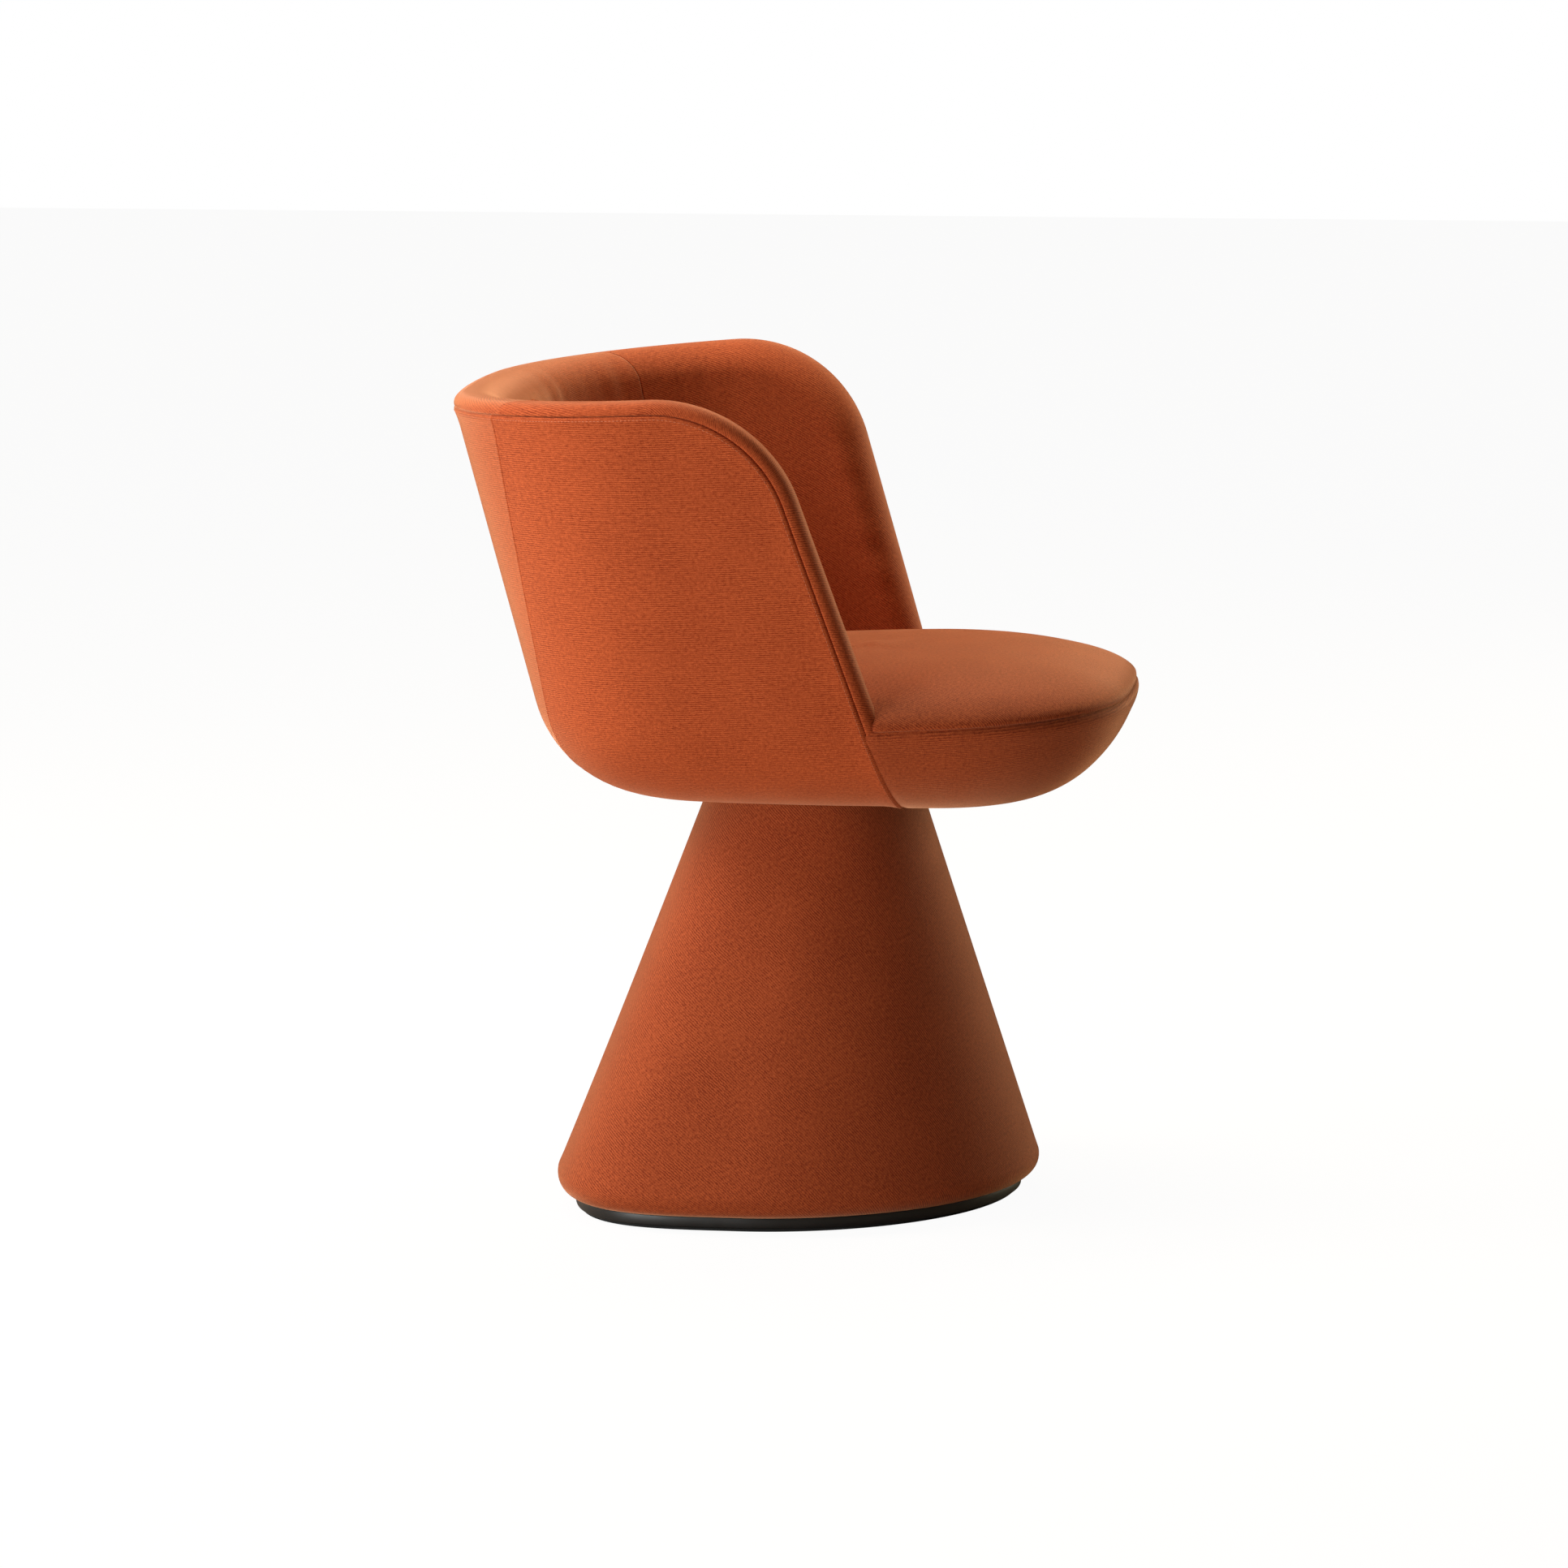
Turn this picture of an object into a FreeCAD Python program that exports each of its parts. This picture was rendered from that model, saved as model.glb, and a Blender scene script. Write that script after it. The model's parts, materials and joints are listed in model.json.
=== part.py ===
import FreeCAD, Part
import math
import os
import Sketcher

# Pedestal armchair: an upholstered tub seat that turns on a cone-shaped upholstered pedestal.
# Millimetres and degrees. +Z is up, the chair faces -Y and +X is the sitter's left.
# The origin is on the floor, on the swivel axis.

SIZES = [
    # Tub: plan outline of eight tangent arcs where its flared wall would meet the flat underside
    ("underside_height", 366),
    ("tub_half_width", 212),
    ("tub_half_depth", 240.5),
    ("tub_shift", -20.2),
    ("tub_side_radius", 844),
    ("tub_end_radius", 798),
    ("tub_corner_radius", 144),
    ("tub_flare", 14.87),
    ("bowl_radius", 108),
    ("tub_form_height", 800),
    # Side view of the back and arms
    ("back_top_height", 731.4),
    ("back_top_at", 100),
    ("top_fall", 3.84),
    ("arm_front_at", -86),
    ("arm_front_height", 430),
    ("arm_lean", 17.9),
    ("shoulder_radius", 122.4),
    # Layers of the tub wall, from the outside in
    ("cover_thickness", 2),
    ("soft_gap", 0.3),
    ("shell_thickness", 11),
    ("shell_edge_drop", 17),
    ("wall_thickness", 48),
    ("welt_drop", 10.6),
    ("outer_seam_apex", 143.5),
    ("outer_seam_slope", 25.2),
    ("inner_seam_apex", -60),
    ("inner_seam_slope", 50.3),
    # Seat
    ("seat_crown_rise", 120),
    ("seat_crown_radius", 1100),
    ("seat_crown_at", -60),
    ("pocket_inset", 62),
    ("pocket_floor", 24),
    ("dust_cover_thickness", 1.5),
    ("dust_cover_inset", 96),
    # Pedestal cone: D-shaped plan where its wall would meet the floor
    ("cone_floor_radius", 229),
    ("cone_floor_back", 215),
    ("cone_at", 17.8),
    ("cone_taper", 18),
    ("cone_back_taper", 21),
    ("cone_corner_radius", 68),
    ("cone_bottom", 13),
    ("cone_gap", 2),
    ("skirt_round", 16),
    ("cone_wall", 8),
    ("hem_width", 40),
    # Foot
    ("pad_thickness", 3),
    ("plinth_inset", 27),
    ("pad_inset", 31),
    ("board_thickness", 18),
    ("board_clearance", 14),
    ("ballast_radius", 150),
    ("ballast_thickness", 10),
    ("foot_radius", 75),
    ("foot_thickness", 8),
    ("foot_bolt_circle", 110),
    ("foot_bolt_radius", 5),
    ("column_radius", 30),
    ("column_wall", 3),
    ("top_ring_radius", 88),
    ("top_ring_thickness", 15),
    ("top_ring_drop", 24),
    # Swivel
    ("spindle_radius", 12.5),
    ("running_clearance", 0.05),
    ("seat_clearance", 0.1),
    ("bush_wall", 3.5),
    ("bush_length", 30),
    ("bush_flange", 3),
    ("bush_flange_radius", 24),
    ("hub_length", 120),
    ("hub_collar", 6),
    ("hub_collar_radius", 36),
    ("thrust_thickness", 3),
    ("thrust_radius", 28),
    ("spindle_flange", 8),
    ("spindle_flange_radius", 34),
    ("clip_thickness", 2),
    ("clip_radius", 17),
    ("clip_opening", 40),
    ("groove_depth", 1.2),
    ("washer_thickness", 2),
    ("washer_radius", 20),
    ("spindle_tail", 4),
    ("plate_radius", 72),
    ("plate_thickness", 6),
    ("plate_bolt_circle", 110),
    ("plate_bolt_radius", 4),
    ("bolt_head_height", 6),
    ("bolt_head_ratio", 1.8),
    ("nut_barrel_radius", 5.5),
    ("nut_flange_radius", 11),
    ("nut_flange", 1.5),
]

doc = FreeCAD.newDocument("pedestal_armchair")
sheet = doc.addObject("Spreadsheet::Sheet", "Sizes")
for row, (alias, number) in enumerate(SIZES, start=1):
    sheet.set("A%d" % row, alias)
    sheet.set("B%d" % row, str(number))
    sheet.setAlias("B%d" % row, alias)
doc.recompute()

NODES = {}
VECTOR = FreeCAD.Vector
UP = VECTOR(0, 0, 1)
FAR = 450
LEVEL_TOLERANCE = 1e-5
BOLT_COUNT = 4


def value(expression):
    """Number that an expression over the sheet gives."""
    return float(sheet.evalExpression(expression))


def size(alias):
    return value("Sizes." + alias)


def bind(item, **expressions):
    """Bind properties to expressions; a double underscore in a name stands for a dot."""
    for name, expression in expressions.items():
        item.setExpression(name.replace("__", "."), expression)
    return item


def keep(node, item):
    """Name a finished piece; its label names its file."""
    item.Label = node
    NODES[node] = item
    return item


# Solids and booleans

def cylinder(name, radius, bottom, height, x="0", y="0"):
    item = doc.addObject("Part::Cylinder", name)
    return bind(item, Radius=radius, Height=height, Placement__Base__x=x, Placement__Base__y=y,
                Placement__Base__z=bottom)


def cut(name, base, *tools):
    tool = tools[0]
    if len(tools) > 1:
        tool = fuse(name + "_tools", *tools)
    item = doc.addObject("Part::Cut", name)
    item.Base = base
    item.Tool = tool
    return item


def fuse(name, *items):
    item = doc.addObject("Part::MultiFuse", name)
    item.Shapes = list(items)
    return item


def common(name, *items):
    item = doc.addObject("Part::MultiCommon", name)
    item.Shapes = list(items)
    return item


def ring(name, outer, inner, bottom, height):
    """Turned ring: a cylinder with a through bore."""
    bore = cylinder(name + "_bore", inner, bottom, height)
    return cut(name, cylinder(name + "_blank", outer, bottom, height), bore)


def half_space(name, side):
    """Block that holds everything on one side of the chair's middle plane, half a seam away."""
    item = doc.addObject("Part::Box", name)
    item.Length = FAR
    item.Width = 2 * FAR
    item.Height = 2 * FAR
    item.Placement.Base = VECTOR(0, -FAR, 0)
    start = "Sizes.soft_gap / 2" if side > 0 else "-%d - Sizes.soft_gap / 2" % FAR
    return bind(item, Placement__Base__x=start)


# Sketches

def plane_of(body, role):
    return next(item for item in body.Origin.OriginFeatures if item.Role == role)


def new_sketch(body, name, role="XY_Plane", level=None):
    sketch = body.newObject("Sketcher::SketchObject", name)
    sketch.AttachmentSupport = [(plane_of(body, role), "")]
    sketch.MapMode = "FlatFace"
    if level:
        bind(sketch, AttachmentOffset__Base__z=level)
    return sketch


def fix_radius(sketch, arc, expression):
    index = sketch.addConstraint(Sketcher.Constraint("Radius", arc, value(expression)))
    sketch.setExpression("Constraints[%d]" % index, expression)


def arc_about(x, y, radius, start, end):
    return Part.ArcOfCircle(Part.Circle(VECTOR(x, y, 0), UP, radius), start, end)


def corner_centre(side_x, side_reach, end_y, end_reach):
    """Centre of a corner arc, at a given reach from the side arc's and the end arc's centres."""
    run = math.hypot(side_x, end_y)
    along = (end_reach ** 2 - side_reach ** 2 + run ** 2) / (2 * run)
    across = math.sqrt(end_reach ** 2 - along ** 2)
    x = side_x * along / run
    y = end_y - end_y * along / run
    nudge_x = -end_y / run * across
    nudge_y = -side_x / run * across
    sign = 1 if nudge_x + nudge_y > 0 else -1
    return x + sign * nudge_x, y + sign * nudge_y


def tub_sketch(body, name, level, offset):
    """Tub plan: side, corner and end arcs, all tangent, grown by an offset about their own centres."""
    sketch = new_sketch(body, name, "XY_Plane", level)
    grow = value(offset)
    middle = size("tub_shift")
    side_x = size("tub_half_width") - size("tub_side_radius")
    end_y = size("tub_half_depth") - size("tub_end_radius")
    corner = size("tub_corner_radius")
    x, y = corner_centre(side_x, size("tub_side_radius") - corner, end_y, size("tub_end_radius") - corner)
    low = math.atan2(y, x - side_x)
    high = math.atan2(y - end_y, x)
    side = size("tub_side_radius") + grow
    end = size("tub_end_radius") + grow
    corner = corner + grow
    half, full = math.pi, 2 * math.pi
    sketch.addGeometry([
        arc_about(side_x, middle, side, -low, low),
        arc_about(x, middle + y, corner, low, high),
        arc_about(0, middle + end_y, end, high, half - high),
        arc_about(-x, middle + y, corner, half - high, half - low),
        arc_about(-side_x, middle, side, half - low, half + low),
        arc_about(-x, middle - y, corner, half + low, half + high),
        arc_about(0, middle - end_y, end, half + high, full - high),
        arc_about(x, middle - y, corner, full - high, full - low),
    ], False)
    for arc in range(8):
        sketch.addConstraint(Sketcher.Constraint("Tangent", arc, 2, (arc + 1) % 8, 1))
    fix_radius(sketch, 0, "Sizes.tub_side_radius + (%s)" % offset)
    fix_radius(sketch, 1, "Sizes.tub_corner_radius + (%s)" % offset)
    fix_radius(sketch, 2, "Sizes.tub_end_radius + (%s)" % offset)
    return sketch


def cone_sketch(body, name, inset, level=None):
    """Pedestal plan: a half circle in front, straight sides and a straight back."""
    sketch = new_sketch(body, name, "XY_Plane", level)
    radius = value("Sizes.cone_floor_radius - (%s)" % inset)
    back = value("Sizes.cone_floor_back - (%s)" % inset)
    right, left = VECTOR(radius, 0, 0), VECTOR(-radius, 0, 0)
    back_right, back_left = VECTOR(radius, back, 0), VECTOR(-radius, back, 0)
    sketch.addGeometry([
        arc_about(0, 0, radius, math.pi, 2 * math.pi),
        Part.LineSegment(right, back_right),
        Part.LineSegment(back_right, back_left),
        Part.LineSegment(back_left, left),
    ], False)
    rule = Sketcher.Constraint
    sketch.addConstraint([
        rule("Tangent", 0, 2, 1, 1), rule("Coincident", 1, 2, 2, 1), rule("Coincident", 2, 2, 3, 1),
        rule("Tangent", 3, 2, 0, 1), rule("Coincident", 0, 3, -1, 1), rule("Horizontal", 2),
    ])
    fix_radius(sketch, 0, "Sizes.cone_floor_radius - (%s)" % inset)
    depth = sketch.addConstraint(rule("DistanceY", 1, 1, 1, 2, back))
    sketch.setExpression("Constraints[%d]" % depth, "Sizes.cone_floor_back - (%s)" % inset)
    bind(sketch, AttachmentOffset__Base__y="Sizes.cone_at")
    return sketch


def polygon_sketch(body, name, points, role="XY_Plane", level=None):
    """Closed outline of straight lines through points worked out from the sheet."""
    sketch = new_sketch(body, name, role, level)
    corners = [VECTOR(x, y, 0) for x, y in points]
    count = len(corners)
    lines = [Part.LineSegment(corners[i], corners[(i + 1) % count]) for i in range(count)]
    sketch.addGeometry(lines, False)
    for i in range(count):
        sketch.addConstraint(Sketcher.Constraint("Coincident", i, 2, (i + 1) % count, 1))
    return sketch


# Features

def pad(body, name, sketch, length):
    feature = body.newObject("PartDesign::Pad", name)
    feature.Profile = sketch
    bind(feature, Length=length)
    doc.recompute()
    return feature


def pad_both_ways(body, name, sketch, length):
    feature = body.newObject("PartDesign::Pad", name)
    feature.Profile = sketch
    feature.SideType = "Symmetric"
    feature.Length = length
    doc.recompute()
    return feature


def face_names(shape, wanted):
    return ["Face%d" % (i + 1) for i, face in enumerate(shape.Faces) if wanted(face)]


def edge_names(shape, wanted):
    return ["Edge%d" % (i + 1) for i, edge in enumerate(shape.Edges) if wanted(edge)]


def draft_walls(body, name, feature, level, angle, outwards, wanted=None):
    """Lean the walls of a straight block about the level that it was drawn on."""
    shape = feature.Shape

    def flat(face):
        return abs(abs(face.normalAt(0, 0).z) - 1) < LEVEL_TOLERANCE

    def drawn(face):
        return flat(face) and abs(face.CenterOfMass.z - level) < LEVEL_TOLERANCE

    def wall(face):
        return not flat(face) and (wanted is None or wanted(face))

    lean = body.newObject("PartDesign::Draft", name)
    lean.Base = (feature, face_names(shape, wall))
    lean.NeutralPlane = (feature, face_names(shape, drawn))
    lean.Reversed = outwards
    bind(lean, Angle=angle)
    doc.recompute()
    return lean


def fillet(body, name, feature, radius, wanted):
    rounding = body.newObject("PartDesign::Fillet", name)
    rounding.Base = (feature, edge_names(feature.Shape, wanted))
    bind(rounding, Radius=radius)
    doc.recompute()
    return rounding


def trim(body, name, low, high):
    """Cut away everything between two levels."""
    points = [(-FAR, low), (FAR, low), (FAR, high), (-FAR, high)]
    pocket = body.newObject("PartDesign::Pocket", name)
    pocket.Profile = polygon_sketch(body, name + "_profile", points, "XZ_Plane")
    pocket.SideType = "Symmetric"
    pocket.Length = 2 * FAR
    doc.recompute()
    return pocket


def new_body(name):
    return doc.addObject("PartDesign::Body", name)


# Master forms of the tub

COVER = "Sizes.cover_thickness"
UNDER_COVER = "Sizes.cover_thickness + Sizes.soft_gap"
FLARE = "(Sizes.tub_flare * 1 deg)"
TURN = "(90 deg - Sizes.tub_flare * 1 deg)"
RIM_RISE = "Sizes.bowl_radius * (1 - sin%s)" % FLARE
RIM = "Sizes.underside_height + " + RIM_RISE
BOWL_STEPS = (0, 0.26, 0.52, 0.77)


def wall_offset(inset):
    return "%s * tan%s - (%s) / cos%s" % (RIM_RISE, FLARE, inset, FLARE)


def add_wall(body, inset):
    """Flared wall from the rim level up."""
    sketch = tub_sketch(body, body.Name + "_rim", RIM, wall_offset(inset))
    block = pad(body, body.Name + "_rise", sketch, "Sizes.tub_form_height - (%s)" % RIM)
    return draft_walls(body, body.Name + "_flare", block, value(RIM), "Sizes.tub_flare", True)


def add_bowl(body, inset):
    """Rounded underside from the flat bottom up to the rim level."""
    sections = []
    for step, share in enumerate(BOWL_STEPS):
        turn = "(%s * %s)" % (TURN, share)
        offset = "(Sizes.bowl_radius - (%s)) * sin%s - Sizes.bowl_radius * tan(%s / 2)" % (inset, turn, TURN)
        level = "Sizes.underside_height + Sizes.bowl_radius - (Sizes.bowl_radius - (%s)) * cos%s" % (inset, turn)
        sections.append(tub_sketch(body, "%s_turn_%d" % (body.Name, step), level, offset))
    sections.append(tub_sketch(body, body.Name + "_turn_rim", RIM, wall_offset(inset)))
    loft = body.newObject("PartDesign::AdditiveLoft", body.Name + "_bowl")
    loft.Profile = sections[0]
    loft.Sections = sections[1:]
    loft.Ruled = True
    doc.recompute()
    return loft


def tub_wall(name, inset):
    body = new_body(name)
    add_wall(body, inset)
    return body


def tub_bowl(name, inset):
    body = new_body(name)
    add_bowl(body, inset)
    return body


def whole_tub(name, inset):
    body = new_body(name)
    add_wall(body, inset)
    add_bowl(body, inset)
    return body


def side_view(name, inset):
    """Block whose side view is the back and arms: leaning front edge, round shoulder and falling top."""
    shrink = value(inset)
    lean = math.radians(size("arm_lean"))
    fall = math.radians(size("top_fall"))
    shoulder = size("shoulder_radius")
    front_in = (math.cos(lean), -math.sin(lean))
    top_in = (-math.sin(fall), -math.cos(fall))
    front_y = size("arm_front_at") + shoulder * front_in[0]
    front_z = size("arm_front_height") + shoulder * front_in[1]
    top_y = size("back_top_at") + shoulder * top_in[0]
    top_z = size("back_top_height") + shoulder * top_in[1]
    # The shoulder's centre, where the front line and the top line meet after both move in by its radius
    reach = ((top_y - front_y) * math.sin(fall) + (top_z - front_z) * math.cos(fall)) / math.cos(lean - fall)
    centre_y = front_y + reach * math.sin(lean)
    centre_z = front_z + reach * math.cos(lean)
    radius = shoulder - shrink
    low = size("underside_height") / 2
    front_top = (centre_y - radius * front_in[0], centre_z - radius * front_in[1])
    front_low = (front_top[0] - (front_top[1] - low) * math.tan(lean), low)
    top_front = (centre_y - radius * top_in[0], centre_z - radius * top_in[1])
    top_back = (FAR, top_front[1] - (FAR - top_front[0]) * math.tan(fall))
    body = new_body(name)
    sketch = new_sketch(body, name + "_profile", "YZ_Plane")
    corners = [VECTOR(y, z, 0) for y, z in (front_low, front_top, top_front, top_back, (FAR, low))]
    sketch.addGeometry([
        Part.LineSegment(corners[0], corners[1]),
        arc_about(centre_y, centre_z, radius, math.pi / 2 - fall, math.pi - lean),
        Part.LineSegment(corners[2], corners[3]),
        Part.LineSegment(corners[3], corners[4]),
        Part.LineSegment(corners[4], corners[0]),
    ], False)
    rule = Sketcher.Constraint
    sketch.addConstraint([
        rule("Tangent", 0, 2, 1, 2), rule("Tangent", 1, 1, 2, 1), rule("Coincident", 2, 2, 3, 1),
        rule("Coincident", 3, 2, 4, 1), rule("Coincident", 4, 2, 0, 1), rule("Vertical", 3),
        rule("Horizontal", 4),
    ])
    fix_radius(sketch, 1, "Sizes.shoulder_radius - (%s)" % inset)
    pad_both_ways(body, name + "_block", sketch, 2 * FAR)
    return body


def back_wedge(name, apex, slope, gap):
    """Block behind the two seams that part the back panel from the arm panels."""
    start = size(apex) + value(gap)
    rise = FAR * math.tan(math.radians(size(slope)))
    points = [(0, start), (FAR, start + rise), (FAR, 2 * FAR), (-FAR, 2 * FAR), (-FAR, start + rise)]
    body = new_body(name)
    sketch = polygon_sketch(body, name + "_plan", points)
    pad(body, name + "_block", sketch, "Sizes.tub_form_height")
    return body


def crown(name, drop):
    """Shallow dome of the seat: the part of a large ball above its underside level."""
    ball = doc.addObject("Part::Sphere", name)
    return bind(ball, Radius="Sizes.seat_crown_radius - (%s)" % drop,
                Placement__Base__y="Sizes.seat_crown_at",
                Placement__Base__z="Sizes.underside_height + Sizes.seat_crown_rise - Sizes.seat_crown_radius")


def above_rim(name):
    slab = doc.addObject("Part::Box", name)
    slab.Length = 2 * FAR
    slab.Width = 2 * FAR
    slab.Placement.Base = VECTOR(-FAR, -FAR, 0)
    return bind(slab, Height="Sizes.tub_form_height", Placement__Base__z=RIM)


INNER_FACE = "Sizes.wall_thickness"
BEHIND_INNER_COVER = "Sizes.wall_thickness - Sizes.cover_thickness"
FOAM_INNER = BEHIND_INNER_COVER + " - Sizes.soft_gap"
SHELL_INNER = UNDER_COVER + " + Sizes.shell_thickness"
FOAM_OUTER = SHELL_INNER + " + Sizes.soft_gap"
BESIDE_WALL = "Sizes.wall_thickness + Sizes.soft_gap"
WELT = "Sizes.welt_drop"
SHELL_EDGE = UNDER_COVER + " + Sizes.shell_edge_drop"


def tub_pieces():
    outer = whole_tub("tub_outer", "0")
    lining = whole_tub("tub_lining", COVER)
    wall_outer = tub_wall("wall_outer", "0")
    wall_lining = tub_wall("wall_lining", COVER)
    wall_under = tub_wall("wall_under_cover", UNDER_COVER)
    shell_inner = tub_wall("wall_shell_inner", SHELL_INNER)
    foam_outer = tub_wall("wall_foam_outer", FOAM_OUTER)
    foam_inner = tub_wall("wall_foam_inner", FOAM_INNER)
    cover_back = tub_wall("wall_inner_cover_back", BEHIND_INNER_COVER)
    inner_face = tub_wall("wall_inner_face", INNER_FACE)
    edge = side_view("edge_outer", "0")
    edge_lining = side_view("edge_lining", COVER)
    edge_foam = side_view("edge_foam", UNDER_COVER)
    welt_line = side_view("edge_welt", WELT)
    welt_gap = side_view("edge_welt_gap", WELT + " - Sizes.soft_gap")
    left = half_space("left_half", 1)
    right = half_space("right_half", -1)

    # Bent plywood shell, and the foam that lines it and wraps over its edge
    shell_edge = side_view("edge_shell", SHELL_EDGE)
    keep("back_shell", common("back_shell_cut", cut("shell_wall", wall_under, shell_inner), shell_edge))
    padding = common("foam_blank", cut("foam_wall", wall_under, foam_inner), edge_foam)
    room_edge = side_view("edge_shell_room", SHELL_EDGE + " - Sizes.soft_gap")
    shell_room = common("shell_room", cut("shell_room_wall", wall_lining, foam_outer), room_edge)
    keep("back_foam", cut("back_foam_cut", padding, shell_room))

    # Outer cover: three panels that run from the welt down round the bowl
    skin = common("outer_skin", cut("outer_skin_wall", outer, lining), welt_line)
    hem = tub_opening("underside_opening", "Sizes.dust_cover_inset - Sizes.soft_gap")
    skin = cut("outer_skin_open", skin, hem)
    wedge = back_wedge("outer_back_part", "outer_seam_apex", "outer_seam_slope", "Sizes.soft_gap")
    wide_wedge = back_wedge("outer_back_clear", "outer_seam_apex", "outer_seam_slope", "0")
    keep("outer_back_cover", common("outer_back_cover_cut", skin, wedge))
    sides = cut("outer_sides", skin, wide_wedge)
    keep("outer_side_cover_left", common("outer_left_cut", sides, left))
    keep("outer_side_cover_right", common("outer_right_cut", sides, right))

    # Inner cover: three panels that line the tub and turn over its edge to the welt
    padded = common("padded_wall", cut("padded_wall_blank", wall_outer, inner_face), edge)
    filling = common("wall_filling", cut("wall_filling_blank", wall_lining, cover_back), edge_lining)
    lip = common("outer_lip_cut", cut("outer_lip_blank", wall_outer, wall_lining), welt_gap)
    lining_skin = cut("inner_skin", padded, filling, lip)
    wedge = back_wedge("inner_back_part", "inner_seam_apex", "inner_seam_slope", "Sizes.soft_gap")
    wide_wedge = back_wedge("inner_back_clear", "inner_seam_apex", "inner_seam_slope", "0")
    keep("inner_back_cover", common("inner_back_cover_cut", lining_skin, wedge))
    arms = cut("inner_arms", lining_skin, wide_wedge)
    keep("inner_arm_cover_left", common("inner_left_cut", arms, left))
    keep("inner_arm_cover_right", common("inner_right_cut", arms, right))
    return outer, lining, welt_gap, hem


def tub_opening(name, inset):
    """Straight plug with the tub's plan, for openings in the underside and the seat block."""
    body = new_body(name)
    sketch = tub_sketch(body, name + "_plan", "Sizes.underside_height / 2", "-(%s)" % inset)
    pad(body, name + "_plug", sketch, "Sizes.underside_height")
    return body


# Seat

BLOCK_FLOOR = "Sizes.underside_height + " + UNDER_COVER
POCKET_FLOOR = BLOCK_FLOOR + " + Sizes.pocket_floor"


def seat_pieces(outer, lining, welt_gap, hem):
    upper = above_rim("above_rim")
    wall_lining = tub_wall("seat_lining", COVER)
    wall_under = tub_wall("seat_under_cover", UNDER_COVER)
    beside = tub_wall("beside_wall", BESIDE_WALL)
    clear_edge = side_view("edge_clear", "-Sizes.soft_gap")
    tub_room = common("wall_room", cut("wall_room_blank", outer, beside), clear_edge)

    # Rigid moulded block under the seat, with a pocket that takes the foam's plug
    block = tub_bowl("seat_block_form", UNDER_COVER)
    pocket = new_body("pocket_form")
    sketch = tub_sketch(pocket, "pocket_plan", POCKET_FLOOR, "-Sizes.pocket_inset")
    pad(pocket, "pocket_depth", sketch, "%s - (%s)" % (RIM, POCKET_FLOOR))
    bores = [cylinder("nut_hole_%d" % i, "Sizes.nut_barrel_radius + Sizes.seat_clearance", BLOCK_FLOOR,
                      "Sizes.pocket_floor", x, y)
             for i, (x, y) in enumerate(bolt_places("Sizes.plate_bolt_circle"))]
    keep("seat_block", cut("seat_block_cut", block, pocket, *bores))

    # Foam cushion: a crowned slab with a plug that fills the pocket
    plug = new_body("foam_plug")
    plug_level = POCKET_FLOOR + " + Sizes.nut_flange + Sizes.soft_gap"
    sketch = tub_sketch(plug, "plug_plan", plug_level, "-Sizes.pocket_inset - Sizes.soft_gap")
    pad(plug, "plug_depth", sketch, "%s + Sizes.soft_gap - (%s)" % (RIM, plug_level))
    slab = common("foam_slab", wall_under, crown("crown_foam", UNDER_COVER), upper)
    cushion = fuse("foam_cushion", cut("foam_slab_cut", slab, tub_room), plug)
    keep("seat_foam", cushion)

    # Seat cover: a crowned top panel and a band round the front of the bowl, sewn together at the rim
    top = common("seat_top_blank", outer, crown("crown_cover", "0"), upper)
    inside = common("seat_top_inside", wall_lining, crown("crown_lining", COVER))
    keep("seat_top_cover", cut("seat_top_cut", top, inside, tub_room))
    band = cut("band_wall", tub_bowl("band_outer", "0"), lining)
    keep("seat_band_cover", cut("seat_band_cut", band, welt_gap, hem))

    # Black cloth that closes the underside round the swivel plate
    disc = new_body("dust_cover_form")
    sketch = tub_sketch(disc, "dust_cover_plan", "Sizes.underside_height", "-Sizes.dust_cover_inset")
    pad(disc, "dust_cover_sheet", sketch, "Sizes.dust_cover_thickness")
    hole = cylinder("dust_cover_hole", "Sizes.plate_radius + Sizes.soft_gap", "Sizes.underside_height",
                    "Sizes.dust_cover_thickness")
    keep("dust_cover", cut("dust_cover_cut", disc, hole))


# Pedestal

SLOPE = "cos(Sizes.cone_taper * 1 deg)"
CONE_UNDER = "(%s) / %s" % (UNDER_COVER, SLOPE)
CONE_INSIDE = "(%s + Sizes.cone_wall) / %s" % (UNDER_COVER, SLOPE)
CONE_TOP = "Sizes.underside_height - Sizes.cone_gap"
PLINTH_LEVEL = "Sizes.pad_thickness"
BOARD_LEVEL = "Sizes.cone_bottom + " + UNDER_COVER
BALLAST_LEVEL = BOARD_LEVEL + " + Sizes.board_thickness"
FOOT_LEVEL = BALLAST_LEVEL + " + Sizes.ballast_thickness"
COLUMN_LEVEL = FOOT_LEVEL + " + Sizes.foot_thickness"


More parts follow.
